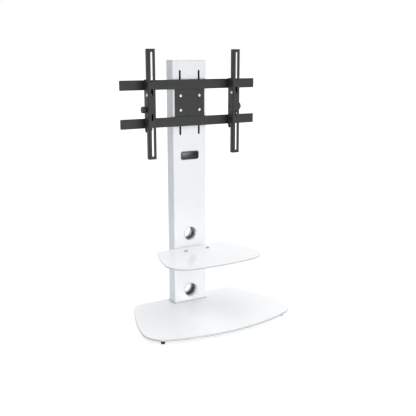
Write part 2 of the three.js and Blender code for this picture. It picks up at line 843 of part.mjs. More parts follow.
// Screws that hold the bracket, and the screws, pads and nuts that hold the glass
const shelfScrew = screw({
  axis: 'y',
  radius: shelfScrewRadius,
  length: innerPlateBack + shelfScrewTip - bracketBack + bracketThick,
  headRadius: shelfScrewHeadRadius,
  headHeight: shelfScrewHeadHeight,
  socketRadius: shelfScrewSocketRadius,
  socketDepth: shelfScrewHeadHeight / 2,
});
for (const { name, x, z } of shelfScrews) {
  addPiece(`shelf_screw_${name}`, shelfScrew, 'zincSteel', [x, bracketBack - bracketThick, z]);
}
const pad = cut(
  extrudeZ(roundedBox(shelfPadWidth, shelfPadLength, shelfPadCorner), bracketTop, shelfBottom),
  [rod('z', capScrewRadius + seatGap, bracketTop - cutOver, shelfBottom + cutOver, [0, 0, 0])],
);
const domeRise = capHeadHeight - capHeadRim;
const dome = arc([0, 0], 1, 0, quarterTurn, domeStep).map(([across, up]) => {
  return [capHeadRadius * across, capHeadRim + domeRise * up];
});
const capScrew = turned([
  [0, -capScrewLength],
  [capScrewRadius, -capScrewLength],
  [capScrewRadius, 0],
  [capHeadRadius, 0],
  ...dome.slice(0, -1),
  [0, capHeadHeight],
], 'z', [0, 0, 0]);
const nutTop = bracketTop - bracketThick;
const nut = cut(
  rod('z', nutRadius, nutTop - nutHeight, nutTop, [0, 0, 0], sidesHex),
  [rod('z', capScrewRadius + seatGap, nutTop - nutHeight - cutOver, nutTop + cutOver, [0, 0, 0])],
);
for (const { side, x } of capScrewPlaces) {
  addPiece(`shelf_pad_${side}`, pad, 'blackRubber', [x, capScrewY, 0]);
  addPiece(`shelf_cap_screw_${side}`, capScrew, 'chrome', [x, capScrewY, shelfTop]);
  addPiece(`shelf_nut_${side}`, nut, 'zincSteel', [x, capScrewY, 0]);
}

// Mount plate, its bolts and the nut bars they pull against
const mountOutline = roundedBox(mountWidth, mountTall, mountCorner, [0, mountHeight]);
addPiece(
  'mount_plate',
  cut(
    extrudeY(mountOutline, mountFront, mountBack),
    throughY(mountBolts, boltRadius + seatGap, mountFront, mountBack),
  ),
  'blackSteel',
);
const nutBarFront = innerPlateBack + seatGap;
const nutBarBack = nutBarFront + nutBarThick;
const mountBolt = screw({
  axis: 'y',
  radius: boltRadius,
  length: nutBarBack + mountBoltTip - mountFront,
  headRadius: boltHeadRadius,
  headHeight: boltHeadHeight,
  socketRadius: boltSocketRadius,
  socketDepth: boltSocketDepth,
});
for (const { name, x, z } of mountBolts) {
  addPiece(`mount_bolt_${name}`, mountBolt, 'zincSteel', [x, mountFront, z]);
}
const nutBarHalf = mountBoltSpacingX / 2 + nutBarMargin;
for (const [rank, sz] of [['lower', -1], ['upper', 1]]) {
  const z = mountHeight + (sz * mountBoltSpacingZ) / 2;
  const bar = block(
    -nutBarHalf,
    nutBarHalf,
    nutBarFront,
    nutBarBack,
    z - nutBarHeight / 2,
    z + nutBarHeight / 2,
  );
  const holes = throughY(mountBolts, boltRadius + seatGap, nutBarFront, nutBarBack);
  addPiece(`nut_bar_${rank}`, cut(bar, holes), 'zincSteel');

  // Cross rails on the front of the mount plate
  const outline = roundedBox(railLength, railHeight, railCorner, [0, mountHeight + sz * railOffset]);
  addPiece(`rail_${rank}`, extrudeY(outline, railFront, mountFront), 'blackSteel');
}

// Arms and hook brackets are drawn round the tilt pivot, with the arm's middle at X = 0.
const armFront = -pivotBack;
const armBack = armFront + armDepth;
const armInner = armWidth / 2 - armThick;
const earOuter = armInner - hookSide;
const earInner = earOuter - hookThick;
const armMiddle = -pivotHeight;
const armLow = armMiddle - armLength / 2;
const armHigh = armMiddle + armLength / 2;
const lockPlace = [0, lockBack, -lockDrop];

function throughX(radius, low, high, centre) {
  return rod('x', radius, low - cutOver, high + cutOver, centre);
}

// Mirrors a slab with its inner and outer X on both sides.
function bothSides(points, inner, outer) {
  return [extrudeX(points, inner, outer), extrudeX(points, -outer, -inner)];
}

// Tilt arm: a channel open to the back, with a lug on each side for the tilt lock
const armFace = extrudeY(
  roundedBox(armWidth, armLength, armEndCorner, [0, armMiddle]),
  armFront,
  armBack,
);
const armHollow = block(
  -armInner,
  armInner,
  armFront + armThick,
  armBack + cutOver,
  armLow - cutOver,
  armHigh + cutOver,
);
const lugRoot = armBack - armThick;
const lugOutline = [
  [lugRoot, lockPlace[2] - lugFoot],
  ...arc([lockPlace[1], lockPlace[2]], lugRadius, -lugSpread, lugSpread, cornerStep),
  [lugRoot, lockPlace[2] + lugFoot],
];
const longSlotMiddle = armLength / 2 - longSlotMargin - longSlotLength / 2;
const screenSlots = [
  [longSlotMiddle, longSlotLength],
  [shortSlotOffset, shortSlotLength],
  [-shortSlotOffset, shortSlotLength],
  [-longSlotMiddle, longSlotLength],
].map(([middle, length]) => {
  const low = armMiddle + middle - length / 2;
  return slotTool(0, low, low + length, screenSlotWidth / 2, armFront - cutOver, armBack);
});
const tiltArm = cut(
  join([cut(armFace, [armHollow]), ...bothSides(lugOutline, armInner, armWidth / 2)]),
  [
    ...screenSlots,
    throughX(pinRadius + seatGap, -armWidth / 2, armWidth / 2, [0, 0, 0]),
    throughX(lockRadius + seatGap, -armWidth / 2, armWidth / 2, lockPlace),
  ],
);

// Hook bracket: two ears on a back that hooks over the upper rail and runs past the lower one
const hookBack = pivotStandoff + hookThick;
const railTopRise = railOffset + railHeight / 2 - pivotHeight;
const railLowDrop = -railOffset - railHeight / 2 - pivotHeight;
const hookCrown = railTopRise + seatGap;
const hookEnd = railLowDrop - hookTail;
const hookLipFront = hookBack + seatGap + railThick + seatGap;
const lockReach = Math.hypot(lockBack, lockDrop);
const lockHeading = THREE.MathUtils.radToDeg(Math.atan2(-lockDrop, lockBack));
const earOutline = [
  [hookBack, hookEnd + earFootRise],
  [earFootBack, hookEnd + earFootRise],
  [earWaistBack, -lockDrop * earWaistShare],
  ...arc([0, 0], earNose, halfTurn + noseRise, halfTurn - noseRise, cornerStep),
  [earTopBack, hookCrown],
  [hookBack, hookCrown],
];
const lockHalf = lockRadius + seatGap;
const lockFrom = lockHeading - tiltBackward;
const lockTo = lockHeading + tiltForward;
const lockSlot = [
  ...arc([0, 0], lockReach + lockHalf, lockFrom, lockTo, lockStep),
  ...arc([0, 0], lockReach - lockHalf, lockTo, lockFrom, lockStep),
];
const lockEnds = [lockFrom, lockTo].map((degrees) => {
  const angle = THREE.MathUtils.degToRad(degrees);
  const end = [0, lockReach * Math.cos(angle), lockReach * Math.sin(angle)];
  return throughX(lockHalf, -earOuter, earOuter, end);
});
const safetyPlace = [0, 0, railLowDrop - safetyRadius - seatGap];
const hookTop = hookCrown + hookThick;
const hookLipBack = hookLipFront + hookThick;
const hookBody = join([
  block(-earOuter, earOuter, pivotStandoff, hookBack, hookEnd, hookTop),
  block(-earOuter, earOuter, pivotStandoff, hookLipBack, hookCrown, hookTop),
  block(-earOuter, earOuter, hookLipFront, hookLipBack, hookCrown - hookOver, hookTop),
  ...bothSides(earOutline, earInner, earOuter),
]);
const hookBracket = cut(hookBody, [
  throughX(pinRadius + seatGap, -earOuter, earOuter, [0, 0, 0]),
  extrudeX(lockSlot, -earOuter - cutOver, earOuter + cutOver),
  ...lockEnds,
  rod('y', safetyRadius + seatGap, pivotStandoff - cutOver, hookBack + cutOver, safetyPlace),
]);

// Tilt pin: peened over at both ends
const pinHalf = armWidth / 2 + seatGap;
const tiltPin = turned([
  [0, -pinHalf - pinHeadHeight],
  [pinHeadRadius * pinFaceShare, -pinHalf - pinHeadHeight],
  [pinHeadRadius, -pinHalf - pinHeadHeight / 2],
  [pinHeadRadius, -pinHalf],
  [pinRadius, -pinHalf],
  [pinRadius, pinHalf],
  [pinHeadRadius, pinHalf],
  [pinHeadRadius, pinHalf + pinHeadHeight / 2],
  [pinHeadRadius * pinFaceShare, pinHalf + pinHeadHeight],
  [0, pinHalf + pinHeadHeight],
], 'x', [0, 0, 0], sidesSmall);

// Lock knob with its stud, turned so that the knob is outboard
const knobFoot = pinHalf;
const knobRim = knobFoot + knobCollarThick;
const knobSteps = knobLobes * knobLobeSteps;
const knobPoints = Array.from({ length: knobSteps }, (unused, i) => {
  const angle = (i * 2 * Math.PI) / knobSteps;
  const radius = knobRadius - knobLobe + knobLobe * Math.cos(knobLobes * angle);
  return [radius * Math.cos(angle), radius * Math.sin(angle)];
});
function lockKnob(sx) {
  const span = (low, high) => (sx > 0 ? [low, high] : [-high, -low]);
  return join([
    extrudeX(knobPoints, ...span(knobRim, knobRim + knobThick)),
    rod('x', knobCollar, ...span(knobFoot, knobRim + knobThick / 2), [0, 0, 0], sidesMedium),
    rod('x', lockRadius, ...span(-armWidth / 2 - lockStudTip, knobRim), [0, 0, 0]),
  ]);
}

const safetyScrew = screw({
  axis: 'y',
  radius: safetyRadius,
  length: hookThick + 2 * seatGap + railThick + safetyTip,
  headRadius: safetyHeadRadius,
  headHeight: safetyHeadHeight,
  socketRadius: safetySocketRadius,
  socketDepth: safetyHeadHeight / 2,
});

for (const [side, sx] of pairs) {
  const arm = new THREE.Group();
  arm.position.set((sx * armSpacing) / 2, pivotY, pivotZ);
  root.add(arm);
  addPiece(`hook_bracket_${side}`, hookBracket, 'blackSteel', [0, 0, 0], arm);
  addPiece(`tilt_arm_${side}`, tiltArm, 'blackSteel', [0, 0, 0], arm);
  addPiece(`tilt_pin_${side}`, tiltPin, 'zincSteel', [0, 0, 0], arm);
  addPiece(`tilt_lock_knob_${side}`, lockKnob(sx), 'blackPlastic', lockPlace, arm);
  addPiece(`safety_screw_${side}`, safetyScrew, 'zincSteel', [0, pivotStandoff, safetyPlace[2]], arm);
}

export default root;
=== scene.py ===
import json
from math import atan2, ceil, copysign, cos, degrees, hypot, pi, radians, sin, sqrt

import bmesh
import bpy
from mathutils import Matrix, Vector
from mathutils.geometry import delaunay_2d_cdt


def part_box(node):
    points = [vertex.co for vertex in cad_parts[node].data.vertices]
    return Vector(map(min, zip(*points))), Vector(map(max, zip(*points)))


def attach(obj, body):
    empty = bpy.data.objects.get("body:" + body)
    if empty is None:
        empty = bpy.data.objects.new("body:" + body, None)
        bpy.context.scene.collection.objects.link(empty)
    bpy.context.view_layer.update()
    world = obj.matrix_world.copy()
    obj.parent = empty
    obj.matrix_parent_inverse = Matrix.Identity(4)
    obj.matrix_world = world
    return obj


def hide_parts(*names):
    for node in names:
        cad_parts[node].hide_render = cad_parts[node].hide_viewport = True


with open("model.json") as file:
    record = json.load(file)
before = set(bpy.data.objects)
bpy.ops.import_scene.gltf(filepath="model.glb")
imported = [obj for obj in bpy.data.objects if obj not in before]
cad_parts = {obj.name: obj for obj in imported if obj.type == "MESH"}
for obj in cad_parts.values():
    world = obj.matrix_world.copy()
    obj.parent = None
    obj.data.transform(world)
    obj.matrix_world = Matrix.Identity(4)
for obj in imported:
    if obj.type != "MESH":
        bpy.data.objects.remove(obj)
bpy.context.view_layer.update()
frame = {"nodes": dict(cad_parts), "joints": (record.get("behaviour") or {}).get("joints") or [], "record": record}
NODES = sorted(frame["nodes"])
RECORD = frame["record"]
BODY_OF = {node: body for body, members in RECORD["behaviour"]["bodies"].items() for node in members}
SLOT_OF = {part["node"]: part["material_slot"] for part in RECORD["subparts"]}
TRAVEL = {joint["name"]: joint.get("range_m") or joint["range_deg"] for joint in frame["joints"]}

MM = 0.001
SIDES = (("left", -1), ("right", 1))
LEVELS = ("lower", "upper")
BOLT_HOLE = 4.3 * MM
SCREW_HOLE = 3.3 * MM
SMALL_ROUND, ROUND, LARGE_ROUND = 48, 72, 96


def add_object(name, data):
    thing = bpy.data.objects.new(name, data)
    bpy.context.scene.collection.objects.link(thing)
    return thing


# Camera: place and direction of the photograph's camera
def make_camera():
    data = bpy.data.cameras.new("camera")
    camera = add_object("camera", data)
    place = Vector((-1.353, -2.304, 1.1066))
    right = Vector((0.86179, -0.50727, 0.0)).normalized()
    forward = Vector((0.49409, 0.83939, -0.22648)).normalized()
    up = right.cross(forward)
    turn = Matrix((right, up, -forward)).transposed().to_4x4()
    camera.matrix_world = Matrix.Translation(place) @ turn
    picture = 416
    half_pixel = 0.5 / picture
    data.sensor_width = 36
    data.lens = 56.83
    data.shift_x = -half_pixel
    data.shift_y = half_pixel
    data.clip_end = 100
    bpy.context.scene.camera = camera


# Node-tree helpers
def start_material(name):
    material = bpy.data.materials.new(name)
    material.use_nodes = True
    tree = material.node_tree
    return material, tree, tree.nodes["Principled BSDF"]


def set_inputs(tree, node, inputs):
    """Each input gets a link where it is given another node's socket, and a value otherwise."""
    for key, value in inputs.items():
        if isinstance(value, bpy.types.NodeSocket):
            tree.links.new(value, node.inputs[key])
        else:
            node.inputs[key].default_value = value


def add_node(tree, kind, inputs=None, **settings):
    node = tree.nodes.new(kind)
    for key, value in settings.items():
        setattr(node, key, value)
    set_inputs(tree, node, inputs or {})
    return node


def noise(tree, scale, detail=3):
    """Noise in object space; scale is in cycles per metre."""
    coords = add_node(tree, "ShaderNodeTexCoord")
    inputs = {"Vector": coords.outputs["Object"], "Scale": scale, "Detail": detail}
    return add_node(tree, "ShaderNodeTexNoise", inputs).outputs["Fac"]


def remap(tree, value, low, high):
    """Spreads the values that noise mostly has over low to high."""
    usual_low, usual_high = 0.3, 0.7
    inputs = {"Value": value, "From Min": usual_low, "From Max": usual_high, "To Min": low, "To Max": high}
    return add_node(tree, "ShaderNodeMapRange", inputs).outputs["Result"]


def blend(tree, factor, first, second):
    """Each side is a socket or a colour."""
    inputs = {"Factor": factor, "A": first, "B": second}
    return add_node(tree, "ShaderNodeMix", inputs, data_type="RGBA").outputs["Result"]


def opaque(colour, factor=1):
    return (*(channel * factor for channel in colour), 1)


# Materials, kept under their names
MATERIALS = {}


def make_material(name, colours, mottle, roughness, wander, relief=None, grain=None, fixed=None):
    """mottle, wander and grain are noises, as (scale, detail). The first two blend the colours and the
    roughness, and the last one raises the relief (strength, depth). fixed values hold all over."""
    material, tree, shader = start_material(name)
    drift = remap(tree, noise(tree, *mottle), 0, 1)
    inputs = {
        "Base Color": blend(tree, drift, *colours),
        "Roughness": remap(tree, noise(tree, *wander), *roughness),
    }
    if relief:
        strength, depth = relief
        height = noise(tree, *grain)
        bump = add_node(tree, "ShaderNodeBump", {"Height": height, "Strength": strength, "Distance": depth})
        inputs["Normal"] = bump.outputs["Normal"]
    set_inputs(tree, shader, {**inputs, **(fixed or {})})
    MATERIALS[name] = material


def powder_coat(name, colour, gloss, grain, depth, sheen=0.5):
    """Baked paint: faint tone drift, orange peel, and a gloss that wanders a little."""
    make_material(
        name,
        colours=(opaque(colour, 0.985), opaque(colour, 1.01)), mottle=(6,),
        roughness=(gloss * 0.9, gloss * 1.1), wander=(40,),
        relief=(0.35, depth), grain=(grain, 2),
        fixed={"Specular IOR Level": sheen},
    )


def plated_metal(name, dark, light, gloss):
    """Polished metal whose tone and gloss wander a little."""
    make_material(
        name,
        colours=(opaque(dark), opaque(light)), mottle=(60,),
        roughness=(gloss * 0.5, gloss * 1.5), wander=(900, 4),
        fixed={"Metallic": 1},
    )


def rubber(name, colour):
    """Dull rubber with a little dust."""
    make_material(
        name,
        colours=(opaque(colour), opaque(colour, 1.5)), mottle=(180, 4),
        roughness=(0.7, 0.9), wander=(500,),
        relief=(0.4, 0.0001), grain=(2200, 3),
        fixed={"Specular IOR Level": 0.25},
    )


# Paint under the glass, seen through its polished surface
make_material(
    "white_glass_face",
    colours=((0.885, 0.89, 0.902, 1), (0.9, 0.905, 0.915, 1)), mottle=(4,),
    roughness=(0.13, 0.17), wander=(25,),
    relief=(0.05, 0.0002), grain=(12, 1),
    fixed={"IOR": 1.3},
)
# Polished edge of the glass, grey with a hint of green
make_material(
    "glass_edge",
    colours=((0.47, 0.49, 0.50, 1), (0.54, 0.56, 0.57, 1)), mottle=(30, 2),
    roughness=(0.06, 0.14), wander=(200,),
    fixed={"IOR": 1.52},
)
powder_coat("white_paint", (0.80, 0.81, 0.822), gloss=0.38, grain=800, depth=0.00012)
powder_coat("cool_white_paint", (0.80, 0.825, 0.845), gloss=0.38, grain=800, depth=0.00012)
powder_coat("black_steel", (0.019, 0.0195, 0.021), gloss=0.5, grain=1500, depth=0.0003, sheen=0.4)
plated_metal("chrome", dark=(0.70, 0.71, 0.73), light=(0.78, 0.79, 0.81), gloss=0.08)
plated_metal("satin_chrome", dark=(0.45, 0.47, 0.50), light=(0.51, 0.53, 0.56), gloss=0.2)
# Bright zinc with fine turning marks and small dull patches
make_material(
    "zinc_steel",
    colours=((0.50, 0.51, 0.53, 1), (0.68, 0.69, 0.70, 1)), mottle=(350, 4),
    roughness=(0.22, 0.42), wander=(700,),
    relief=(0.2, 0.00005), grain=(2500, 2),
    fixed={"Metallic": 1},
)
# Moulded plastic with an even grain
make_material(
    "black_plastic",
    colours=((0.018, 0.018, 0.019, 1), (0.03, 0.03, 0.032, 1)), mottle=(120,),
    roughness=(0.42, 0.58), wander=(400,),
    relief=(0.4, 0.00008), grain=(3000, 2),
)
rubber("grey_rubber", (0.4, 0.42, 0.44))
rubber("black_rubber", (0.012, 0.012, 0.013))


# Stage: a white floor that keeps the object's shadow, and a white world seen by the camera and metal
def seen_directly(tree):
    """1 for camera, mirror and see-through rays, 0 for the rays that light the object."""
    path = add_node(tree, "ShaderNodeLightPath")
    found = path.outputs["Is Camera Ray"]
    for kind in ("Is Glossy Ray", "Is Transmission Ray"):
        inputs = {0: found, 1: path.outputs[kind]}
        found = add_node(tree, "ShaderNodeMath", inputs, operation="MAXIMUM").outputs["Value"]
    return found


def make_floor():
    """Pale to the rays that light the object. Seen directly it glows white less its shadow."""
    size, pale, shadow, glow = 30, (0.8, 0.8, 0.8, 1), (0.35, 0.35, 0.35, 1), 0.8
    mesh = bpy.data.meshes.new("floor")
    corners = [(x * size, y * size, 0) for x, y in ((-1, -1), (1, -1), (1, 1), (-1, 1))]
    mesh.from_pydata(corners, [], [(0, 1, 2, 3)])
    material, tree, shader = start_material("floor_white")
    set_inputs(tree, shader, {"Base Color": pale, "Roughness": 1, "Specular IOR Level": 0})
    shaded = add_node(tree, "ShaderNodeBsdfDiffuse", {"Color": shadow})
    glowing = add_node(tree, "ShaderNodeEmission", {"Strength": glow})
    both = add_node(tree, "ShaderNodeAddShader", {0: shaded.outputs[0], 1: glowing.outputs[0]})
    inputs = {0: seen_directly(tree), 1: shader.outputs["BSDF"], 2: both.outputs["Shader"]}
    mix = add_node(tree, "ShaderNodeMixShader", inputs)
    set_inputs(tree, tree.nodes["Material Output"], {"Surface": mix.outputs["Shader"]})
    mesh.materials.append(material)
    add_object("floor", mesh)


def make_world(towards, low, high):
    """Soft light that grows from the colour low, square to the direction towards and beyond, to high."""
    world = bpy.data.worlds.new("studio")
    world.use_nodes = True
    tree = world.node_tree
    coords = add_node(tree, "ShaderNodeTexCoord")
    inputs = {0: coords.outputs["Generated"], 1: Vector(towards).normalized()}
    aim = add_node(tree, "ShaderNodeVectorMath", inputs, operation="DOT_PRODUCT")
    inputs = {"Value": aim.outputs["Value"]}
    soft = add_node(tree, "ShaderNodeMapRange", inputs, interpolation_type="SMOOTHSTEP")
    light = blend(tree, soft.outputs["Result"], opaque(low), opaque(high))
    white = (1, 1, 1, 1)
    shade = blend(tree, seen_directly(tree), light, white)
    set_inputs(tree, tree.nodes["Background"], {"Color": shade, "Strength": 1})
    bpy.context.scene.world = world


def area_light(name, place, target, size, power, spread=180):
    data = bpy.data.lights.new(name, "AREA")
    data.spread = radians(spread)
    data.shape = "RECTANGLE"
    data.size, data.size_y = size
    data.energy = power
    lamp = add_object(name, data)
    lamp.location = place
    lamp.rotation_mode = "QUATERNION"
    lamp.rotation_quaternion = (Vector(target) - Vector(place)).to_track_quat("-Z", "Y")


# Flat outlines, as lists of 2-D vectors
def arc(centre, radius, start, end, step=10):
    """Points round a centre between two directions in degrees."""
    slack = 1e-6
    count = max(1, ceil(abs(end - start) / step - slack))
    angles = (radians(start + (end - start) * i / count) for i in range(count + 1))
    return [Vector(centre) + radius * Vector((cos(a), sin(a))) for a in angles]


def circle(centre, radius, count=32):
    return arc(centre, radius, 0, 360, 360 / count)[:-1]


def rounded_box(centre, width, height, radius):
    x, y = width / 2 - radius, height / 2 - radius
    loop = []
    for number, (sx, sy) in enumerate(((1, 1), (-1, 1), (-1, -1), (1, -1))):
        corner = (centre[0] + sx * x, centre[1] + sy * y)
        loop += arc(corner, radius, 90 * number, 90 * number + 90)
    return loop


def upright_slot(x, low, high, half_width):
    return (arc((x, high - half_width), half_width, 0, 180)
            + arc((x, low + half_width), half_width, 180, 360))


def rounded(loop, radius, steps=4, closed=True):
    """The outline with every corner rounded off. An open one keeps its two ends."""
    most_share = 0.45
    points = [Vector(p) for p in loop]
    out = []
    for i, here in enumerate(points):
        if not closed and i in (0, len(points) - 1):
            out.append(here)
            continue
        before, after = points[i - 1] - here, points[(i + 1) % len(points)] - here
        reach = min(radius, before.length * most_share, after.length * most_share)
        start = here + before.normalized() * reach
        end = here + after.normalized() * reach
        for step in range(steps + 1):
            t = step / steps
            out.append(start * (1 - t) ** 2 + here * 2 * t * (1 - t) + end * t ** 2)
    return out


def mirrored(points):
    return [(-x, y) for x, y in reversed(points)]


def wound(loop, leftward):
    """The loop, as vectors, with its inner side on the left or on the right."""
    loop = [Vector(p) for p in loop]
    area = sum(a.cross(b) for a, b in zip(loop, loop[1:] + loop[:1]))
    return loop if (area > 0) == leftward else loop[::-1]


def moved_left(loop, distance):
    """A closed outline moved to its left, square to its edges."""
    least_lean = 0.5
    moved = []
    for i, here in enumerate(loop):
        before = (here - loop[i - 1]).normalized()
        after = (loop[(i + 1) % len(loop)] - here).normalized()
        side = Vector((-before.y - after.y, before.x + after.x)).normalized()
        lean = max(least_lean, side.dot(Vector((-after.y, after.x))))
        moved.append(here + side * distance / lean)
    return moved


def holds(loop, point):
    """True if a point lies inside a closed outline."""
    within = False
    for a, b in zip(loop, loop[1:] + loop[:1]):
        if (a.y > point.y) != (b.y > point.y):
            if point.x < a.x + (b.x - a.x) * (point.y - a.y) / (b.y - a.y):
                within = not within
    return within


# Closed shells: (vertices, faces, material number of each face)
def fill(loops, folds):
    """Triangles between an outline and its holes, over the loops' points in order. Folds are pairs of
    places that an edge has to join."""
    flat = [point for loop in loops for point in loop]
    edges = []
    start = 0
    for loop in loops:
        edges += [(start + i, start + (i + 1) % len(loop)) for i in range(len(loop))]
        start += len(loop)
    for pair in folds:
        ends = (min(flat, key=lambda point: (point - Vector(end)).length_squared) for end in pair)
        edges.append(tuple(flat.index(end) for end in ends))
    triangles_inside, tolerance = 1, 1e-9
    found = delaunay_2d_cdt(flat, edges, [], triangles_inside, tolerance)
    first = [origin[0] for origin in found[3]]
    faces = []
    for face in found[2]:
        corners = [first[i] for i in face]
        middle = sum((flat[i] for i in corners), Vector((0, 0))) / len(corners)
        if not any(holds(hole, middle) for hole in loops[1:]):
            faces.append(tuple(corners))
    return faces


def eased_profile(thick, ease, steps=3):
    """(inset, depth) steps over a plate's edge, from its face round to its back."""
    turns = [pi / 2 * i / steps for i in range(steps + 1)]
    near = [(ease * (1 - sin(turn)), ease * (1 - cos(turn))) for turn in turns]
    return near + [(inset, thick - depth) for inset, depth in reversed(near)]


def skin(rows, count, closed=False):
    """Quads between rows of vertex numbers that each go round once."""
    faces = []
    pairs = list(zip(rows, rows[1:])) + ([(rows[-1], rows[0])] if closed else [])
    for low, high in pairs:
        for i in range(count):
            j = (i + 1) % count
            face = tuple(dict.fromkeys((low[i], low[j], high[j], high[i])))
            if len(face) > 2:
                faces.append(face)
    return faces


def plate_shell(outline, holes, thick, ease, place, folds=(), edge_slot=0):
    """A sheet of even thickness with eased edges. place turns (u, v, depth) into a point."""
    loops = [wound(outline, True)] + [wound(hole, False) for hole in holes]
    points, faces = [], []
    face_rows, back_rows = [], []
    for loop in loops:
        rows = []
        for inset, depth in eased_profile(thick, ease):
            rows.append(range(len(points), len(points) + len(loop)))
            points += [(p.x, p.y, depth) for p in moved_left(loop, inset)]
        faces += skin(rows, len(loop))
        face_rows.append(rows[0])
        back_rows.append(rows[-1])
    slots = [edge_slot] * len(faces)
    for rows in (face_rows, back_rows):
        numbers = [i for row in rows for i in row]
        flat = [[Vector(points[i][:2]) for i in row] for row in rows]
        faces += [tuple(numbers[i] for i in face) for face in fill(flat, folds)]
    slots += [0] * (len(faces) - len(slots))
    return [place(*point) for point in points], faces, slots


AXES = {
    "z": Matrix(((1, 0, 0), (0, 1, 0), (0, 0, 1))),
    "-z": Matrix(((1, 0, 0), (0, -1, 0), (0, 0, -1))),
    "y": Matrix(((-1, 0, 0), (0, 0, 1), (0, 1, 0))),
    "-y": Matrix(((1, 0, 0), (0, 0, -1), (0, 1, 0))),
    "x": Matrix(((0, 0, 1), (1, 0, 0), (0, 1, 0))),
    "-x": Matrix(((0, 0, -1), (-1, 0, 0), (0, 1, 0))),
}


def hex_reach(angle):
    """Share of the corner radius that a hexagon has at an angle."""
    sector = radians(60)
    return cos(sector / 2) / cos(angle % sector - sector / 2)


def shell_over(rings, closed=False):
    """Skin over rings of points. A ring may be a single point, where the shell comes together."""
    count = max(len(ring) for ring in rings)
    verts, rows = [], []
    for ring in rings:
        start = len(verts)
        rows.append([start + i % len(ring) for i in range(count)])
        verts += ring
    faces = skin(rows, count, closed)
    return verts, faces, [0] * len(faces)


def ring_shell(rings, axis, centre, segments=ROUND, closed=False):
    """Skin over rings (radius, height) or (radius, height, reach) round an axis. An open skin starts
    and ends at radius 0; a closed one joins its last ring to its first."""
    turn, nothing = AXES[axis], 1e-7
    spots = []
    for radius, height, *shape in rings:
        spots.append([])
        for i in range(segments if radius > nothing else 1):
            angle = 2 * pi * i / segments
            out = radius * shape[0](angle) if shape else radius
            spot = Vector((out * cos(angle), out * sin(angle), height))
            spots[-1].append(Vector(centre) + turn @ spot)
    return shell_over(spots, closed)


def loop_shell(section, loop_at, place):
    """A closed section (offset, depth) swept round a closed outline; loop_at gives it at an offset."""
    return shell_over([[place(*p, depth) for p in loop_at(offset)] for offset, depth in section], closed=True)


def make_piece(name, shells, node, materials=None, sharp=35, level=True):
    """One mesh from closed shells. It stands for a CAD node, rides on its body and takes its slot's
    finish. A level piece gets normals that keep its wide faces flat."""
    verts, faces, slots = [], [], []
    for shell_verts, shell_faces, shell_slots in shells:
        start = len(verts)
        verts += shell_verts
        faces += [tuple(start + i for i in face) for face in shell_faces]
        slots += shell_slots
    mesh = bpy.data.meshes.new(name)
    mesh.from_pydata([tuple(v) for v in verts], [], faces)
    for material in materials or (SLOT_OF[node],):
        mesh.materials.append(MATERIALS[material])
    mesh.polygons.foreach_set("material_index", slots)
    mesh.polygons.foreach_set("use_smooth", [True] * len(mesh.polygons))
    work = bmesh.new()
    work.from_mesh(mesh)
    bmesh.ops.recalc_face_normals(work, faces=work.faces)
    work.to_mesh(mesh)
    work.free()
    mesh.set_sharp_from_angle(angle=radians(sharp))
    piece = add_object(name, mesh)
    if level:
        normals = piece.modifiers.new("normals", "WEIGHTED_NORMAL")
        normals.keep_sharp = True
    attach(piece, BODY_OF[node])
    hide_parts(node)


# Places read from the frame
def span(node):
    """Lowest corner, highest corner and middle of a CAD node."""
    low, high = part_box(node)
    return low, high, (low + high) / 2


def middles(prefix):
    return [span(node)[2] for node in NODES if node.startswith(prefix)]


def holes_at(prefix, radius, plane="xz", count=32):
    """Round holes where the nodes of that name have their middles."""
    return [circle(getattr(place, plane), radius, count) for place in middles(prefix)]


def facing_up(top):
    return lambda u, v, depth: Vector((u, v, top - depth))


def facing_front(face):
    return lambda u, v, depth: Vector((u, face + depth, v))


def facing_side(face, sign):
    return lambda u, v, depth: Vector((face - sign * depth, u, v))


# Folded sheet: a wide face and two sides that fold back behind it
FOLD_STEPS = 5
SHEET = 2 * MM


def bend_places(start, bend):
    """Flat distances of a bend's facets."""
    return [start + bend * i / FOLD_STEPS for i in range(FOLD_STEPS + 1)]


def fold_places(half, radius):
    return bend_places(half - radius, radius * pi / 2)


def unfolded(half, radius, back):
    """Flat distance from the middle of the face to a place that far back on a side."""
    return half - radius + radius * pi / 2 + back - radius


def folded(middle, face, sign, half, radius):
    """Place of (u, v, depth) on the folded sheet. Its sides run towards +Y where sign is 1."""
    def place(u, v, depth):
        flat = half - radius
        run = abs(u)
        x, back = run, depth
        if run > flat:
            turn = min((run - flat) / radius, pi / 2)
            over = max(0.0, run - flat - radius * pi / 2)
            x = flat + (radius - depth) * sin(turn)
            back = radius - (radius - depth) * cos(turn) + over
        return Vector((middle + copysign(x, u), face + sign * back, v))
    return place


def folded_sheet(node, holes, sign):
    """A column sheet as large as its CAD node. Its face is the front where sign is 1, or the rear."""
    thick, radius, ease = SHEET, 3 * MM, 0.35 * MM
    low, high, _ = span(node)
    half = high.x
    row = fold_places(half, radius) + [unfolded(half, radius, high.y - low.y)]
    across = [-u for u in reversed(row)] + row
    outline = [(u, low.z) for u in across] + [(u, high.z) for u in reversed(across)]
    folds = [((u, low.z), (u, high.z)) for u in across[1:-1]]
    place = folded(0, low.y if sign > 0 else high.y, sign, half, radius)
    return plate_shell(outline, holes, thick, ease, place, folds)


# Glass plates
def meeting_circle(first, second, radius):
    """Centre of a circle that holds two smaller circles (x, y, radius) inside it, on their left."""
    gap = Vector((second[0] - first[0], second[1] - first[1]))
    reach_first, reach_second = radius - first[2], radius - second[2]
    along = (reach_first ** 2 - reach_second ** 2 + gap.length_squared) / (2 * gap.length)
    aside = sqrt(reach_first ** 2 - along ** 2)
    unit = gap.normalized()
    return Vector(first[:2]) + unit * along + Vector((-unit.y, unit.x)) * aside


def heading(start, end):
    return degrees(atan2(end[1] - start[1], end[0] - start[0]))


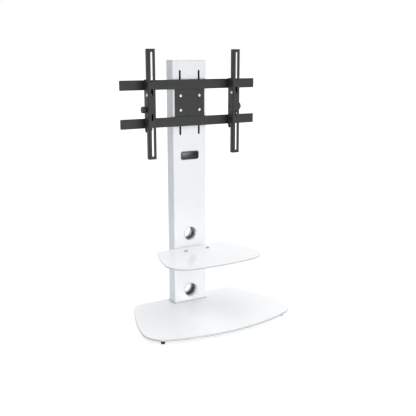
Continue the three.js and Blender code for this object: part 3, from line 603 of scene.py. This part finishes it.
def glass_outline(low, high, front_radius, side_radius, front_corner, rear_corner, rear_edge):
    """A plate with a straight rear edge and three bowed edges that run into round corners."""
    front_centre = (0, low.y + front_radius)
    corner_x = (high.x - low.x) / 2 - front_corner
    run = front_radius - front_corner
    corner_f = (corner_x, front_centre[1] - sqrt(run ** 2 - corner_x ** 2), front_corner)
    corner_r = (rear_edge / 2, high.y - rear_corner, rear_corner)
    side = meeting_circle(corner_f, corner_r, side_radius)
    turn = heading(front_centre, corner_f)
    start = heading(side, corner_f)
    end = heading(side, corner_r)
    long_step, corner_step, least_gap = 0.5, 2, 0.05 * MM
    stretches = (
        arc(front_centre, front_radius, -90, turn, long_step),
        arc(corner_f[:2], front_corner, turn, start, corner_step),
        arc(side, side_radius, start, end, long_step),
        arc(corner_r[:2], rear_corner, end, 90, corner_step),
    )
    half = []
    for point in sum(stretches, []):
        if not half or (point - half[-1]).length > least_gap:
            half.append(point)
    return half + mirrored(half[1:])


def build_glass():
    base = dict(front_radius=0.843, side_radius=0.933, front_corner=0.096, rear_corner=0.047,
                rear_edge=0.430)
    shelf = dict(front_radius=0.969, side_radius=0.945, front_corner=0.091, rear_corner=0.035,
                 rear_edge=0.286)
    base_ease, shelf_ease, base_hole = 1.6 * MM, 1.2 * MM, 6 * MM
    for node, screws, hole, ease, shape in (
        ("base_glass", "base_bolt", base_hole, base_ease, base),
        ("shelf_glass", "shelf_cap_screw", BOLT_HOLE, shelf_ease, shelf),
    ):
        low, high, _ = span(node)
        outline, holes = glass_outline(low, high, **shape), holes_at(screws, hole, "xy")
        shell = plate_shell(outline, holes, high.z - low.z, ease, facing_up(high.z), edge_slot=1)
        make_piece(f"{node}_plate", [shell], node, ("white_glass_face", "glass_edge"))


# Column
def port_holes():
    radius = 30 * MM
    return [circle(span(f"port_ring_front_{level}")[2].xz, radius, LARGE_ROUND) for level in LEVELS]


def mount_slots():
    """The two slots in which the mount's bolts rise and fall."""
    bolts = middles("mount_bolt")
    radius, end_play, half_width = 4 * MM, 1 * MM, 4.5 * MM
    reach = TRAVEL["mount_height"][1] + radius + end_play
    low = min(bolt.z for bolt in bolts) - reach
    high = max(bolt.z for bolt in bolts) + reach
    side = max(bolt.x for bolt in bolts)
    return [upright_slot(sign * side, low, high, half_width) for _, sign in SIDES]


def build_front_panel():
    node = "column_front_panel"
    width, height, corner, screw_sides = 80 * MM, 30 * MM, 6 * MM, 24
    outlet = rounded_box(span("outlet_grommet")[2].xz, width, height, corner)
    screws = holes_at("shelf_screw", SCREW_HOLE, count=screw_sides)
    holes = port_holes() + mount_slots() + screws + [outlet]
    make_piece("front_panel_sheet", [folded_sheet(node, holes, 1)], node)


def build_rear_covers():
    """Two folded covers, each with two ribs behind that grip the posts."""
    rib_outer, rib_thick, rib_reach, rib_ease, rib_play = 57.4 * MM, 1.5 * MM, 9 * MM, 0.2 * MM, 0.3 * MM
    rib_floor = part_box("column_foot_plate")[1].z + rib_play
    for level in LEVELS:
        node = f"rear_cover_{level}"
        low, high, _ = span(node)
        shells = [folded_sheet(node, port_holes() if level == "lower" else [], -1)]
        root = high.y - SHEET / 2
        tip = high.y - SHEET - rib_reach
        rib_low = max(low.z, rib_floor)
        rib = [(tip, rib_low), (root, rib_low), (root, high.z), (tip, high.z)]
        for _, sign in SIDES:
            shells.append(plate_shell(rib, [], rib_thick, rib_ease, facing_side(sign * rib_outer, sign)))
        make_piece(f"{node}_sheet", shells, node)


def build_posts():
    """Each post is a channel, with a flat band on its outside that shows between the sheets."""
    wall, flange, bend, ease = 2.5 * MM, 20 * MM, 1 * MM, 0.3 * MM
    band, band_thick, band_corner, band_ease = 17 * MM, 2.3 * MM, 0.5 * MM, 0.4 * MM
    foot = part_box("column_foot_plate")[1].z
    for side, sign in SIDES:
        node = f"post_{side}"
        low, high, middle = span(node)
        outer = max(abs(low.x), abs(high.x))
        outside, inside, end = (sign * (outer - band_thick - part) for part in (0, wall, flange))
        outline = rounded([
            (outside, low.y),
            (outside, high.y),
            (end, high.y),
            (end, high.y - wall),
            (inside, high.y - wall),
            (inside, low.y + wall),
            (end, low.y + wall),
            (end, low.y),
        ], bend)
        channel = plate_shell(outline, [], high.z - foot, ease, facing_up(high.z))
        strip = rounded_box((middle.y, (low.z + high.z) / 2), band, high.z - low.z, band_corner)
        cover = plate_shell(strip, [], band_thick, band_ease, facing_side(sign * outer, sign))
        make_piece(f"{node}_section", [channel, cover], node)


def build_top_cap():
    """A flat lid with eased edges over a hollow plug."""
    node = "column_top_cap"
    low, high, middle = span(node)
    thick, corner, ease = 3 * MM, 4 * MM, 0.9 * MM
    wall, plug_corner, reach, front_gap, back_gap = 2 * MM, 1 * MM, 55.6 * MM, 5.1 * MM, 11.3 * MM
    size = high - low
    lid = plate_shell(rounded_box(middle.xy, size.x, size.y, corner), [], thick, ease, facing_up(high.z))
    plug_front, plug_back = low.y + front_gap, high.y - back_gap
    plug_middle = (0, (plug_front + plug_back) / 2)
    width, depth = 2 * (reach - wall), plug_back - plug_front - 2 * wall
    drop = size.z - thick
    plug = loop_shell(
        ((0, 0), (wall, 0), (wall, drop), (0, drop)),
        lambda out: rounded_box(plug_middle, width + 2 * out, depth + 2 * out, plug_corner + out),
        facing_up(high.z - thick),
    )
    make_piece("top_cap_body", [lid, plug], node)


def build_port_rings():
    """Rings with a chromed half-round bezel on the sheet and a short satin sleeve through the hole."""
    bore, wall, lip, flare, bezel_step = 28 * MM, 1.7 * MM, 3 * MM, 0.8 * MM, 9
    for level in LEVELS:
        for face, axis in (("front", "-y"), ("rear", "y")):
            node = f"port_ring_{face}_{level}"
            low, high, centre = span(node)
            seat = low.y + lip if face == "front" else high.y - lip
            sleeve = high.y - low.y - lip
            radius = (high.x - low.x) / 2
            middle, half = (radius + bore) / 2, (radius - bore) / 2
            bezel = [(middle + half * p.x, lip * p.y) for p in arc((0, 0), 1, 0, 180, bezel_step)]
            inside = [
                (bore, -sleeve + flare),
                (bore + flare, -sleeve),
                (bore + wall, -sleeve),
                (bore + wall, 0),
            ]
            seat_centre = (centre.x, seat, centre.z)
            verts, faces, _ = ring_shell(bezel + inside, axis, seat_centre, LARGE_ROUND, closed=True)
            plated = LARGE_ROUND * (len(bezel) - 1)
            shell = verts, faces, [0] * plated + [1] * (len(faces) - plated)
            make_piece(f"{node}_chrome", [shell], node, ("chrome", "satin_chrome"), level=False)


def build_outlet():
    """Edge guard of the cable outlet: a rounded flange and a sleeve."""
    node = "outlet_grommet"
    low, high, middle = span(node)
    sleeve_wall, flange, flange_thick, corner = 1.7 * MM, 5 * MM, 1.7 * MM, 4 * MM
    turn, ease, turn_step = 1.2 * MM, 0.4 * MM, 15
    width = high.x - low.x - 2 * flange
    height = high.z - low.z - 2 * flange
    depth = high.y - low.y
    quarter = arc((0, 0), 1, 0, 90, turn_step)
    inward = [(turn * (1 - p.x), turn * (1 - p.y)) for p in quarter]
    outward = [(flange - turn * (1 - p.x), turn * (1 - p.y)) for p in reversed(quarter)]
    section = inward + outward + [
        (flange, flange_thick),
        (sleeve_wall, flange_thick),
        (sleeve_wall, depth - ease),
        (sleeve_wall - ease, depth),
        (ease, depth),
        (0, depth - ease),
    ]
    shell = loop_shell(
        section,
        lambda out: rounded_box(middle.xz, width + 2 * out, height + 2 * out, corner + out),
        facing_front(low.y),
    )
    make_piece("outlet_guard", [shell], node)


# Plates cut from flat stock
def flat_plate(node, corner, ease, holes=()):
    """A plate as large as its CAD node, which lies level or stands facing the front."""
    low, high, middle = span(node)
    size = high - low
    if size.z < size.y:
        outline = rounded_box(middle.xy, size.x, size.y, corner)
        return plate_shell(outline, holes, size.z, ease, facing_up(high.z))
    outline = rounded_box(middle.xz, size.x, size.z, corner)
    return plate_shell(outline, holes, size.y, ease, facing_front(low.y))


def build_plates():
    gasket_hole = 6 * MM
    bolt_holes = holes_at("base_bolt", BOLT_HOLE, "xy")
    # Node, corner radius and edge rounding in millimetres, holes
    plates = [
        ("base_clamp_plate", 6, 0.5, bolt_holes),
        ("column_gasket", 5, 0.6, holes_at("base_bolt", gasket_hole, "xy")),
        ("column_foot_plate", 1, 0.4, bolt_holes),
        ("column_mount_plate", 1, 0.4, mount_slots()),
        ("column_shelf_plate", 1, 0.4, holes_at("shelf_screw", SCREW_HOLE)),
    ]
    for side, _ in SIDES:
        plates.append((f"shelf_pad_{side}", 5, 0.5, holes_at(f"shelf_cap_screw_{side}", BOLT_HOLE, "xy")))
    for level in LEVELS:
        plates.append((f"nut_bar_{level}", 1, 0.6, holes_at(f"mount_bolt_{level}", BOLT_HOLE)))
        plates.append((f"rail_{level}", 4, 0.7, []))
    for node, corner, ease, holes in plates:
        make_piece(f"{node}_body", [flat_plate(node, corner * MM, ease * MM, holes)], node)


def weld_bead(start, end, radius):
    """A rippled bead along a seam, with closed round ends."""
    along = end - start
    least_ripples, ripple_length, ripple, steps_each, segments = 3, 1.6 * radius, 0.14, 4, 10
    steps = max(least_ripples, round(along.length / ripple_length)) * steps_each
    side = along.orthogonal().normalized()
    other = along.normalized().cross(side)
    rings = []
    for i in range(steps + 1):
        swell = 1 - ripple + ripple * abs(sin(i * pi / steps_each))
        size = 0.0 if i in (0, steps) else radius * swell
        rings.append([])
        for j in range(segments if size else 1):
            angle = 2 * pi * j / segments
            out = side * cos(angle) + other * sin(angle)
            rings[-1].append(start + along * i / steps + out * size)
    return shell_over(rings)


def build_mount_plate():
    """The plate that carries both rails, welded to them along its front."""
    node = "mount_plate"
    corner, ease, half, bead = 10 * MM, 0.7 * MM, 60 * MM, 1.5 * MM
    shells = [flat_plate(node, corner, ease, holes_at("mount_bolt", BOLT_HOLE))]
    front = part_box(node)[0].y
    for seam in (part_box("rail_lower")[1].z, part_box("rail_upper")[0].z):
        shells.append(weld_bead(Vector((-half, front, seam)), Vector((half, front, seam)), bead))
    make_piece(f"{node}_body", shells, node)


# Shelf bracket: one sheet folded under the glass, and two welded gussets
def bracket_sheet(low, high, thick, radius, corner, ease):
    half = (high.x - low.x) / 2
    rise = high.z - low.z - radius
    bend = radius * pi / 2
    length = rise + bend + high.y - low.y - radius

    def place(u, v, depth):
        turn = min(max((v - rise) / radius, 0.0), pi / 2)
        over = max(0.0, v - rise - bend)
        up = min(v, rise) + (radius - depth) * sin(turn)
        forward = radius - (radius - depth) * cos(turn) + over
        return Vector((u, high.y - forward, low.z + up))

    steps = bend_places(rise, bend)
    foot = arc((half - corner, corner), corner, -90, 0)
    head = arc((half - corner, length - corner), corner, 0, 90)
    right = foot + [(half, v) for v in steps] + head
    folds = [((half, v), (-half, v)) for v in steps]
    holes = [circle((screw.x, screw.z - low.z), SCREW_HOLE) for screw in middles("shelf_screw")]
    for screw in middles("shelf_cap_screw"):
        holes.append(circle((screw.x, rise + bend + high.y - radius - screw.y), BOLT_HOLE))
    return plate_shell(right + mirrored(right), holes, thick, ease, place, folds)


def build_shelf_bracket():
    node = "shelf_bracket"
    low, high, _ = span(node)
    thick, radius, corner, ease = 3 * MM, 5 * MM, 8 * MM, 0.5 * MM
    spacing, reach_share, bead = 72 * MM, 0.86, 1.6 * MM
    nose, heel, gusset_corner, gusset_ease = 4 * MM, 6 * MM, 1.2 * MM, 0.4 * MM
    shells = [bracket_sheet(low, high, thick, radius, corner, ease)]
    back, top = high.y - thick / 2, high.z - thick / 2
    gusset_low = high.z - (high.z - low.z) * reach_share
    gusset_front = high.y - (high.y - low.y) * reach_share
    outline = rounded([
        (back, gusset_low),
        (back, top - radius),
        (back - radius, top),
        (gusset_front, top),
        (gusset_front, top - nose),
        (back - nose, gusset_low),
    ], gusset_corner)
    seam_back, seam_top = high.y - thick, high.z - thick
    for _, sign in SIDES:
        middle = sign * spacing / 2
        place = facing_side(middle + sign * thick / 2, sign)
        shells.append(plate_shell(outline, [], thick, gusset_ease, place))
        for x in (middle - thick / 2, middle + thick / 2):
            low_end = Vector((x, seam_back, gusset_low + heel))
            shells.append(weld_bead(low_end, Vector((x, seam_back, seam_top - nose)), bead))
            front_end = Vector((x, gusset_front + heel + nose, seam_top))
            shells.append(weld_bead(Vector((x, seam_back - nose, seam_top)), front_end, bead))
    make_piece(f"{node}_body", shells, node)


# Screws and nuts
def thread_profile(radius, length):
    """A shank from its tip to the head's underside, with thread-like rings."""
    pitch, depth, chamfer = (radius * share for share in (0.3, 0.09, 0.25))
    profile = [(0, -length), (radius - chamfer, -length), (radius, -length + chamfer)]
    count = int((length - 2 * chamfer) / pitch)
    for i in range(count):
        start = -length + chamfer + i * pitch
        profile += [(radius - depth, start + pitch / 2), (radius, start + pitch)]
    profile.append((radius, 0))
    return profile


def button_screw(node, axis, shank, head_height, socket, socket_depth):
    """A button-head screw with a hexagonal socket; its head is at the axis's far end."""
    low, high, centre = span(node)
    turn = AXES[axis]
    length = abs((turn @ Vector((0, 0, 1))).dot(high - low))
    head = abs((turn @ Vector((1, 0, 0))).dot(high - low)) / 2
    crown, drill_share = 0.25 * MM, 1.1
    dome_shares = ((1, 0), (1, 0.3), (0.93, 0.62), (0.78, 0.86), (0.62, 0.97), (0.56, 1))
    rings = thread_profile(shank, length - head_height)
    rings += [(head * across, head_height * rise) for across, rise in dome_shares]
    rings += [
        (socket + crown, head_height, hex_reach),
        (socket, head_height - crown, hex_reach),
        (socket, head_height - socket_depth, hex_reach),
        (0, head_height - socket_depth * drill_share),
    ]
    seat = centre + turn @ Vector((0, 0, length / 2 - head_height))
    make_piece(f"{node}_body", [ring_shell(rings, axis, seat, SMALL_ROUND)], node, level=False)


def build_screws():
    # Name, axis, then in millimetres: shank radius, head height, socket radius, socket depth
    kinds = (
        ("base_bolt", "-z", 4, 4.5, 2.9, 2.5),
        ("mount_bolt", "-y", 4, 4.5, 2.9, 2.5),
        ("shelf_screw", "-y", 3, 3.3, 2.3, 1.7),
        ("safety_screw", "-y", 2.5, 3, 1.8, 1.5),
    )
    for prefix, axis, *sizes in kinds:
        for node in NODES:
            if node.startswith(prefix):
                button_screw(node, axis, *(size * MM for size in sizes))


def build_cap_screws():
    """Domed screws that hold the shelf glass down."""
    glass_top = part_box("shelf_glass")[1].z
    shank, rim, ease, dome_step = 4 * MM, 2.5 * MM, 0.4 * MM, 6
    for side, _ in SIDES:
        node = f"shelf_cap_screw_{side}"
        low, high, centre = span(node)
        radius = (high.x - low.x) / 2
        rise = high.z - glass_top
        dome = [(radius * p.x, rim + (rise - rim) * p.y) for p in arc((0, 0), 1, 0, 90, dome_step)[:-1]]
        foot = [(radius - ease, 0), (radius, ease)]
        rings = thread_profile(shank, glass_top - low.z) + foot + dome + [(0, rise)]
        shell = ring_shell(rings, "z", (centre.x, centre.y, glass_top))
        make_piece(f"{node}_dome", [shell], node, ("satin_chrome",), sharp=40, level=False)


def build_shelf_nuts():
    """Hexagon nuts on the cap screws, with chamfered corners."""
    bore, mouth, bevel, bevel_height = 4.15 * MM, 0.5 * MM, 1.1 * MM, 0.66 * MM
    for side, _ in SIDES:
        node = f"shelf_nut_{side}"
        low, high, centre = span(node)
        corner = (high.x - low.x) / 2
        height = high.z - low.z
        rings = [
            (bore + mouth, 0),
            (corner - bevel, 0),
            (corner, bevel_height, hex_reach),
            (corner, height - bevel_height, hex_reach),
            (corner - bevel, height),
            (bore + mouth, height),
            (bore, height - mouth),
            (bore, mouth),
        ]
        shell = ring_shell(rings, "z", (centre.x, centre.y, low.z), SMALL_ROUND, closed=True)
        make_piece(f"{node}_body", [shell], node, sharp=28)


# Levelling feet
def build_feet():
    groove, stem, bevel, shoulder, ease, gap = 0.5 * MM, 4 * MM, 1.5 * MM, 0.75 * MM, 0.4 * MM, 0.3 * MM
    groove_shares = (0.4, 0.6, 0.8)
    for rank in ("front", "rear"):
        for side, _ in SIDES:
            node = f"foot_{rank}_{side}"
            low, high, centre = span(node)
            radius = (high.x - low.x) / 2
            socket = f"foot_socket_{rank}_{side}"
            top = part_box(socket)[0].z - gap
            profile = [(0, 0), (radius - bevel, 0), (radius, bevel)]
            for share in groove_shares:
                height = top * share
                profile += [(radius, height - groove), (radius - groove, height), (radius, height + groove)]
            profile += [(radius - shoulder, top), (stem, top), (stem, high.z), (0, high.z)]
            rings = rounded(profile, ease, steps=3, closed=False)
            shell = ring_shell(rings, "z", (centre.x, centre.y, 0))
            make_piece(f"{node}_body", [shell], node, sharp=40, level=False)
            build_foot_socket(socket)


def build_foot_socket(node):
    """A bored boss under the glass, chamfered where it meets it."""
    low, high, centre = span(node)
    radius = (high.x - low.x) / 2
    bore, mouth, chamfer, chamfer_height, ease = BOLT_HOLE, 0.5 * MM, 0.75 * MM, 2 * MM, 0.3 * MM
    profile = rounded([
        (bore, low.z + mouth),
        (bore + mouth, low.z),
        (radius, low.z),
        (radius, high.z - chamfer_height),
        (radius - chamfer, high.z),
        (bore, high.z),
    ], ease, steps=3)
    shell = ring_shell(profile, "z", (centre.x, centre.y, 0), closed=True)
    make_piece(f"{node}_body", [shell], node, level=False)


# Tilt arms: channels with slots for screws and a lug on each side for the lock
def pivot_of(side):
    """Tilt axis of one arm, and where its lock sits."""
    pivot = span(f"tilt_pin_{side}")[2]
    knob = span(f"tilt_lock_knob_{side}")[2]
    return pivot, Vector((pivot.x, knob.y, knob.z))


def build_arms():
    sheet, fold, depth, ease, slot_half_width = 2.5 * MM, 4 * MM, 20 * MM, 0.5 * MM, 4.2 * MM
    tip, tip_step, lug_radius, lug_spread, lug_foot = 3 * MM, 15, 8 * MM, 60, 14.4 * MM
    slots = ((90 * MM, 208 * MM), (36 * MM, 64 * MM), (-64 * MM, -36 * MM), (-208 * MM, -90 * MM))
    for side, _ in SIDES:
        node = f"tilt_arm_{side}"
        low, high, middle = span(node)
        pivot, lock = pivot_of(side)
        half = (high.x - low.x) / 2
        edge = unfolded(half, fold, depth)
        lock_u = unfolded(half, fold, lock.y - low.y)
        pivot_u = unfolded(half, fold, pivot.y - low.y)
        facets = fold_places(half, fold)
        right = [(u, low.z) for u in facets]
        right += arc((edge - tip, low.z + tip), tip, -90, 0, tip_step)
        right += [(edge, lock.z - lug_foot)]
        right += arc((lock_u, lock.z), lug_radius, -lug_spread, lug_spread)
        right += [(edge, lock.z + lug_foot)]
        right += arc((edge - tip, high.z - tip), tip, 0, 90, tip_step)
        right += [(u, high.z) for u in reversed(facets)]
        holes = [upright_slot(0, middle.z + start, middle.z + end, slot_half_width) for start, end in slots]
        folds = []
        for _, sign in SIDES:
            folds += [((sign * u, low.z), (sign * u, high.z)) for u in facets]
            holes.append(circle((sign * pivot_u, pivot.z), BOLT_HOLE))
            holes.append(circle((sign * lock_u, lock.z), SCREW_HOLE))
        place = folded(pivot.x, low.y, 1, half, fold)
        shell = plate_shell(right + mirrored(right), holes, sheet, ease, place, folds)
        make_piece(f"{node}_channel", [shell], node)


# Hook brackets: a back with two ears folded forward, and a hook folded over the upper rail
def lock_slot(sign, ear_u, pivot, lock):
    """Curved slot in an ear, in which the lock's stud moves as the arm tilts."""
    half_width, long_step, end_step = SCREW_HOLE, 1.5, 15
    backward, forward = TRAVEL["tilt_left"]
    reach = hypot(lock.y - pivot.y, lock.z - pivot.z)
    rest = heading((pivot.y, pivot.z), (lock.y, lock.z))
    start, end = rest + backward, rest + forward
    first, last = arc((0, 0), reach, start, end, end - start)
    loop = arc((0, 0), reach + half_width, start, end, long_step)
    loop += arc(last, half_width, end, end + 180, end_step)[1:-1]
    loop += arc((0, 0), reach - half_width, end, start, long_step)
    loop += arc(first, half_width, start + 180, start + 360, end_step)[1:-1]
    return [(sign * ear_u(p.x), pivot.z + p.y) for p in loop]


def build_hook_brackets():
    thick, fold, bend, ease = 2.5 * MM, 3.5 * MM, 1 * MM, 0.3 * MM
    play, lip_drop, bend_gap = 0.3 * MM, 12 * MM, 0.2 * MM
    nose, nose_spread, waist_share = 9 * MM, 30, 1.08
    ear_rise, ear_front, waist_front, top_front = 8 * MM, 22 * MM, 3 * MM, 12 * MM
    safety_hole, safety_sides = 2.8 * MM, 24
    rail_low, rail_high, _ = span("rail_upper")
    back = rail_low.y - play
    bend_from = rail_high.z + play - bend
    quarter = bend * pi / 2
    over_run = rail_high.y + play - back - 2 * bend
    second_from = bend_from + quarter + over_run
    tip = second_from + quarter + lip_drop - bend
    for side, _ in SIDES:
        node = f"hook_bracket_{side}"
        low, high, _ = span(node)
        pivot, lock = pivot_of(side)
        half = (high.x - low.x) / 2
        ears = folded(pivot.x, back, -1, half, fold)

        def place(u, v, depth):
            """Ears below, and above them the hook's two bends over the rail."""
            if v <= bend_from:
                return ears(u, v, depth)
            out = bend + depth
            first = min((v - bend_from) / bend, pi / 2)
            second = min(max(0.0, v - second_from) / bend, pi / 2)
            over = min(max(0.0, v - bend_from - quarter), over_run)
            y = bend - out * cos(first) + over + out * sin(second)
            z = out * sin(first) - out * (1 - cos(second)) - max(0.0, v - second_from - quarter)
            return Vector((pivot.x + u, back + y, bend_from + z))

        def ear_u(forward):
            return unfolded(half, fold, back - pivot.y - forward)

        facets = fold_places(half, fold)
        flat = facets[0]
        ear_low, ear_high = low.z + ear_rise, bend_from - bend_gap
        waist = pivot.z - (pivot.z - lock.z) * waist_share
        right = [(flat, low.z)] + [(u, ear_low) for u in facets]
        right += [(ear_u(ear_front), ear_low), (ear_u(waist_front), waist)]
        right += arc((ear_u(0), pivot.z), nose, -nose_spread, nose_spread)
        right += [(ear_u(top_front), ear_high)]
        right += [(u, ear_high) for u in reversed(facets)]
        turns = bend_places(bend_from, quarter) + bend_places(second_from, quarter)
        right += [(flat, v) for v in turns] + [(flat, tip)]
        folds = [((flat, v), (-flat, v)) for v in turns]
        holes = [circle((0, span(f"safety_screw_{side}")[2].z), safety_hole, safety_sides)]
        for _, sign in SIDES:
            folds += [((sign * u, ear_low), (sign * u, ear_high)) for u in facets]
            holes.append(circle((sign * ear_u(0), pivot.z), BOLT_HOLE))
            holes.append(lock_slot(sign, ear_u, pivot, lock))
        shell = plate_shell(right + mirrored(right), holes, thick, ease, place, folds)
        make_piece(f"{node}_body", [shell], node)


# Tilt pins and lock knobs
def build_pins():
    thick, shank, ease = 2.5 * MM, 4 * MM, 0.4 * MM
    head_shares = ((0, 0), (0.55, 0), (0.9, 0.45), (1, 1))
    for side, _ in SIDES:
        node = f"tilt_pin_{side}"
        low, high, centre = span(node)
        half = (high.x - low.x) / 2
        head = (high.z - low.z) / 2
        one_end = [(head * across, -half + thick * inward) for across, inward in head_shares]
        one_end.append((shank, -half + thick))
        other = [(radius, -height) for radius, height in reversed(one_end)]
        rings = rounded(one_end + other, ease, steps=3, closed=False)
        make_piece(f"{node}_body", [ring_shell(rings, "x", centre, SMALL_ROUND)], node, level=False)


def build_knobs():
    """Six-lobed clamping knobs with a dished face, each on a stud through the arm and its bracket."""
    lobes, lobe, thick, collar, collar_radius, stud = 6, 1.6 * MM, 14 * MM, 3 * MM, 8 * MM, 3 * MM
    # In millimetres inward of the rim and below the face, and the share of the lobes
    grip = (
        (3.2, 14, 0.8),
        (1.6, 12.8, 1),
        (1.6, 3, 1),
        (2.4, 1.2, 0.9),
        (4.2, 0, 0.6),
        (7, 0.2, 0),
        (7.6, 1, 0),
    )
    for side, sign in SIDES:
        node = f"tilt_lock_knob_{side}"
        low, high, _ = span(node)
        _, lock = pivot_of(side)
        tip, outer = sorted((abs(low.x - lock.x), abs(high.x - lock.x)))
        radius = (high.y - low.y) / 2

        def lobed(share):
            return lambda angle: 1 + share * lobe / radius * cos(lobes * angle)

        rings = [
            (0, -tip),
            (stud, -tip),
            (stud, outer - thick - collar),
            (collar_radius, outer - thick - collar),
            (collar_radius, outer - thick),
        ]
        rings += [(radius - inward * MM, outer - below * MM, lobed(share)) for inward, below, share in grip]
        rings.append((0, rings[-1][1]))
        shell = ring_shell(rings, "x" if sign > 0 else "-x", lock, LARGE_ROUND)
        make_piece(f"{node}_body", [shell], node, sharp=38, level=False)


make_camera()
make_floor()
make_world(towards=(0.41, -0.17, 1), low=(0.225, 0.25, 0.265), high=(1.49, 1.5, 1.505))
area_light("key", place=(0.6, -2.6, 0.4), target=(0, 0, 0.15), size=(2.0, 0.6), power=15)
area_light("low_fill", place=(-1.4, -2.6, 0.27), target=(-0.07, 0.15, 0.1), size=(0.3, 0.1),
           power=0.21, spread=16)
area_light("base_fill", place=(-0.4, -2.4, 1.44), target=(-0.06, 0.04, 0), size=(0.1, 0.1),
           power=0.036, spread=6.2)
build_glass()
build_front_panel()
build_rear_covers()
build_posts()
build_top_cap()
build_port_rings()
build_outlet()
build_plates()
build_mount_plate()
build_shelf_bracket()
build_screws()
build_cap_screws()
build_shelf_nuts()
build_feet()
build_arms()
build_hook_brackets()
build_pins()
build_knobs()

bpy.context.scene.view_settings.view_transform = "Standard"
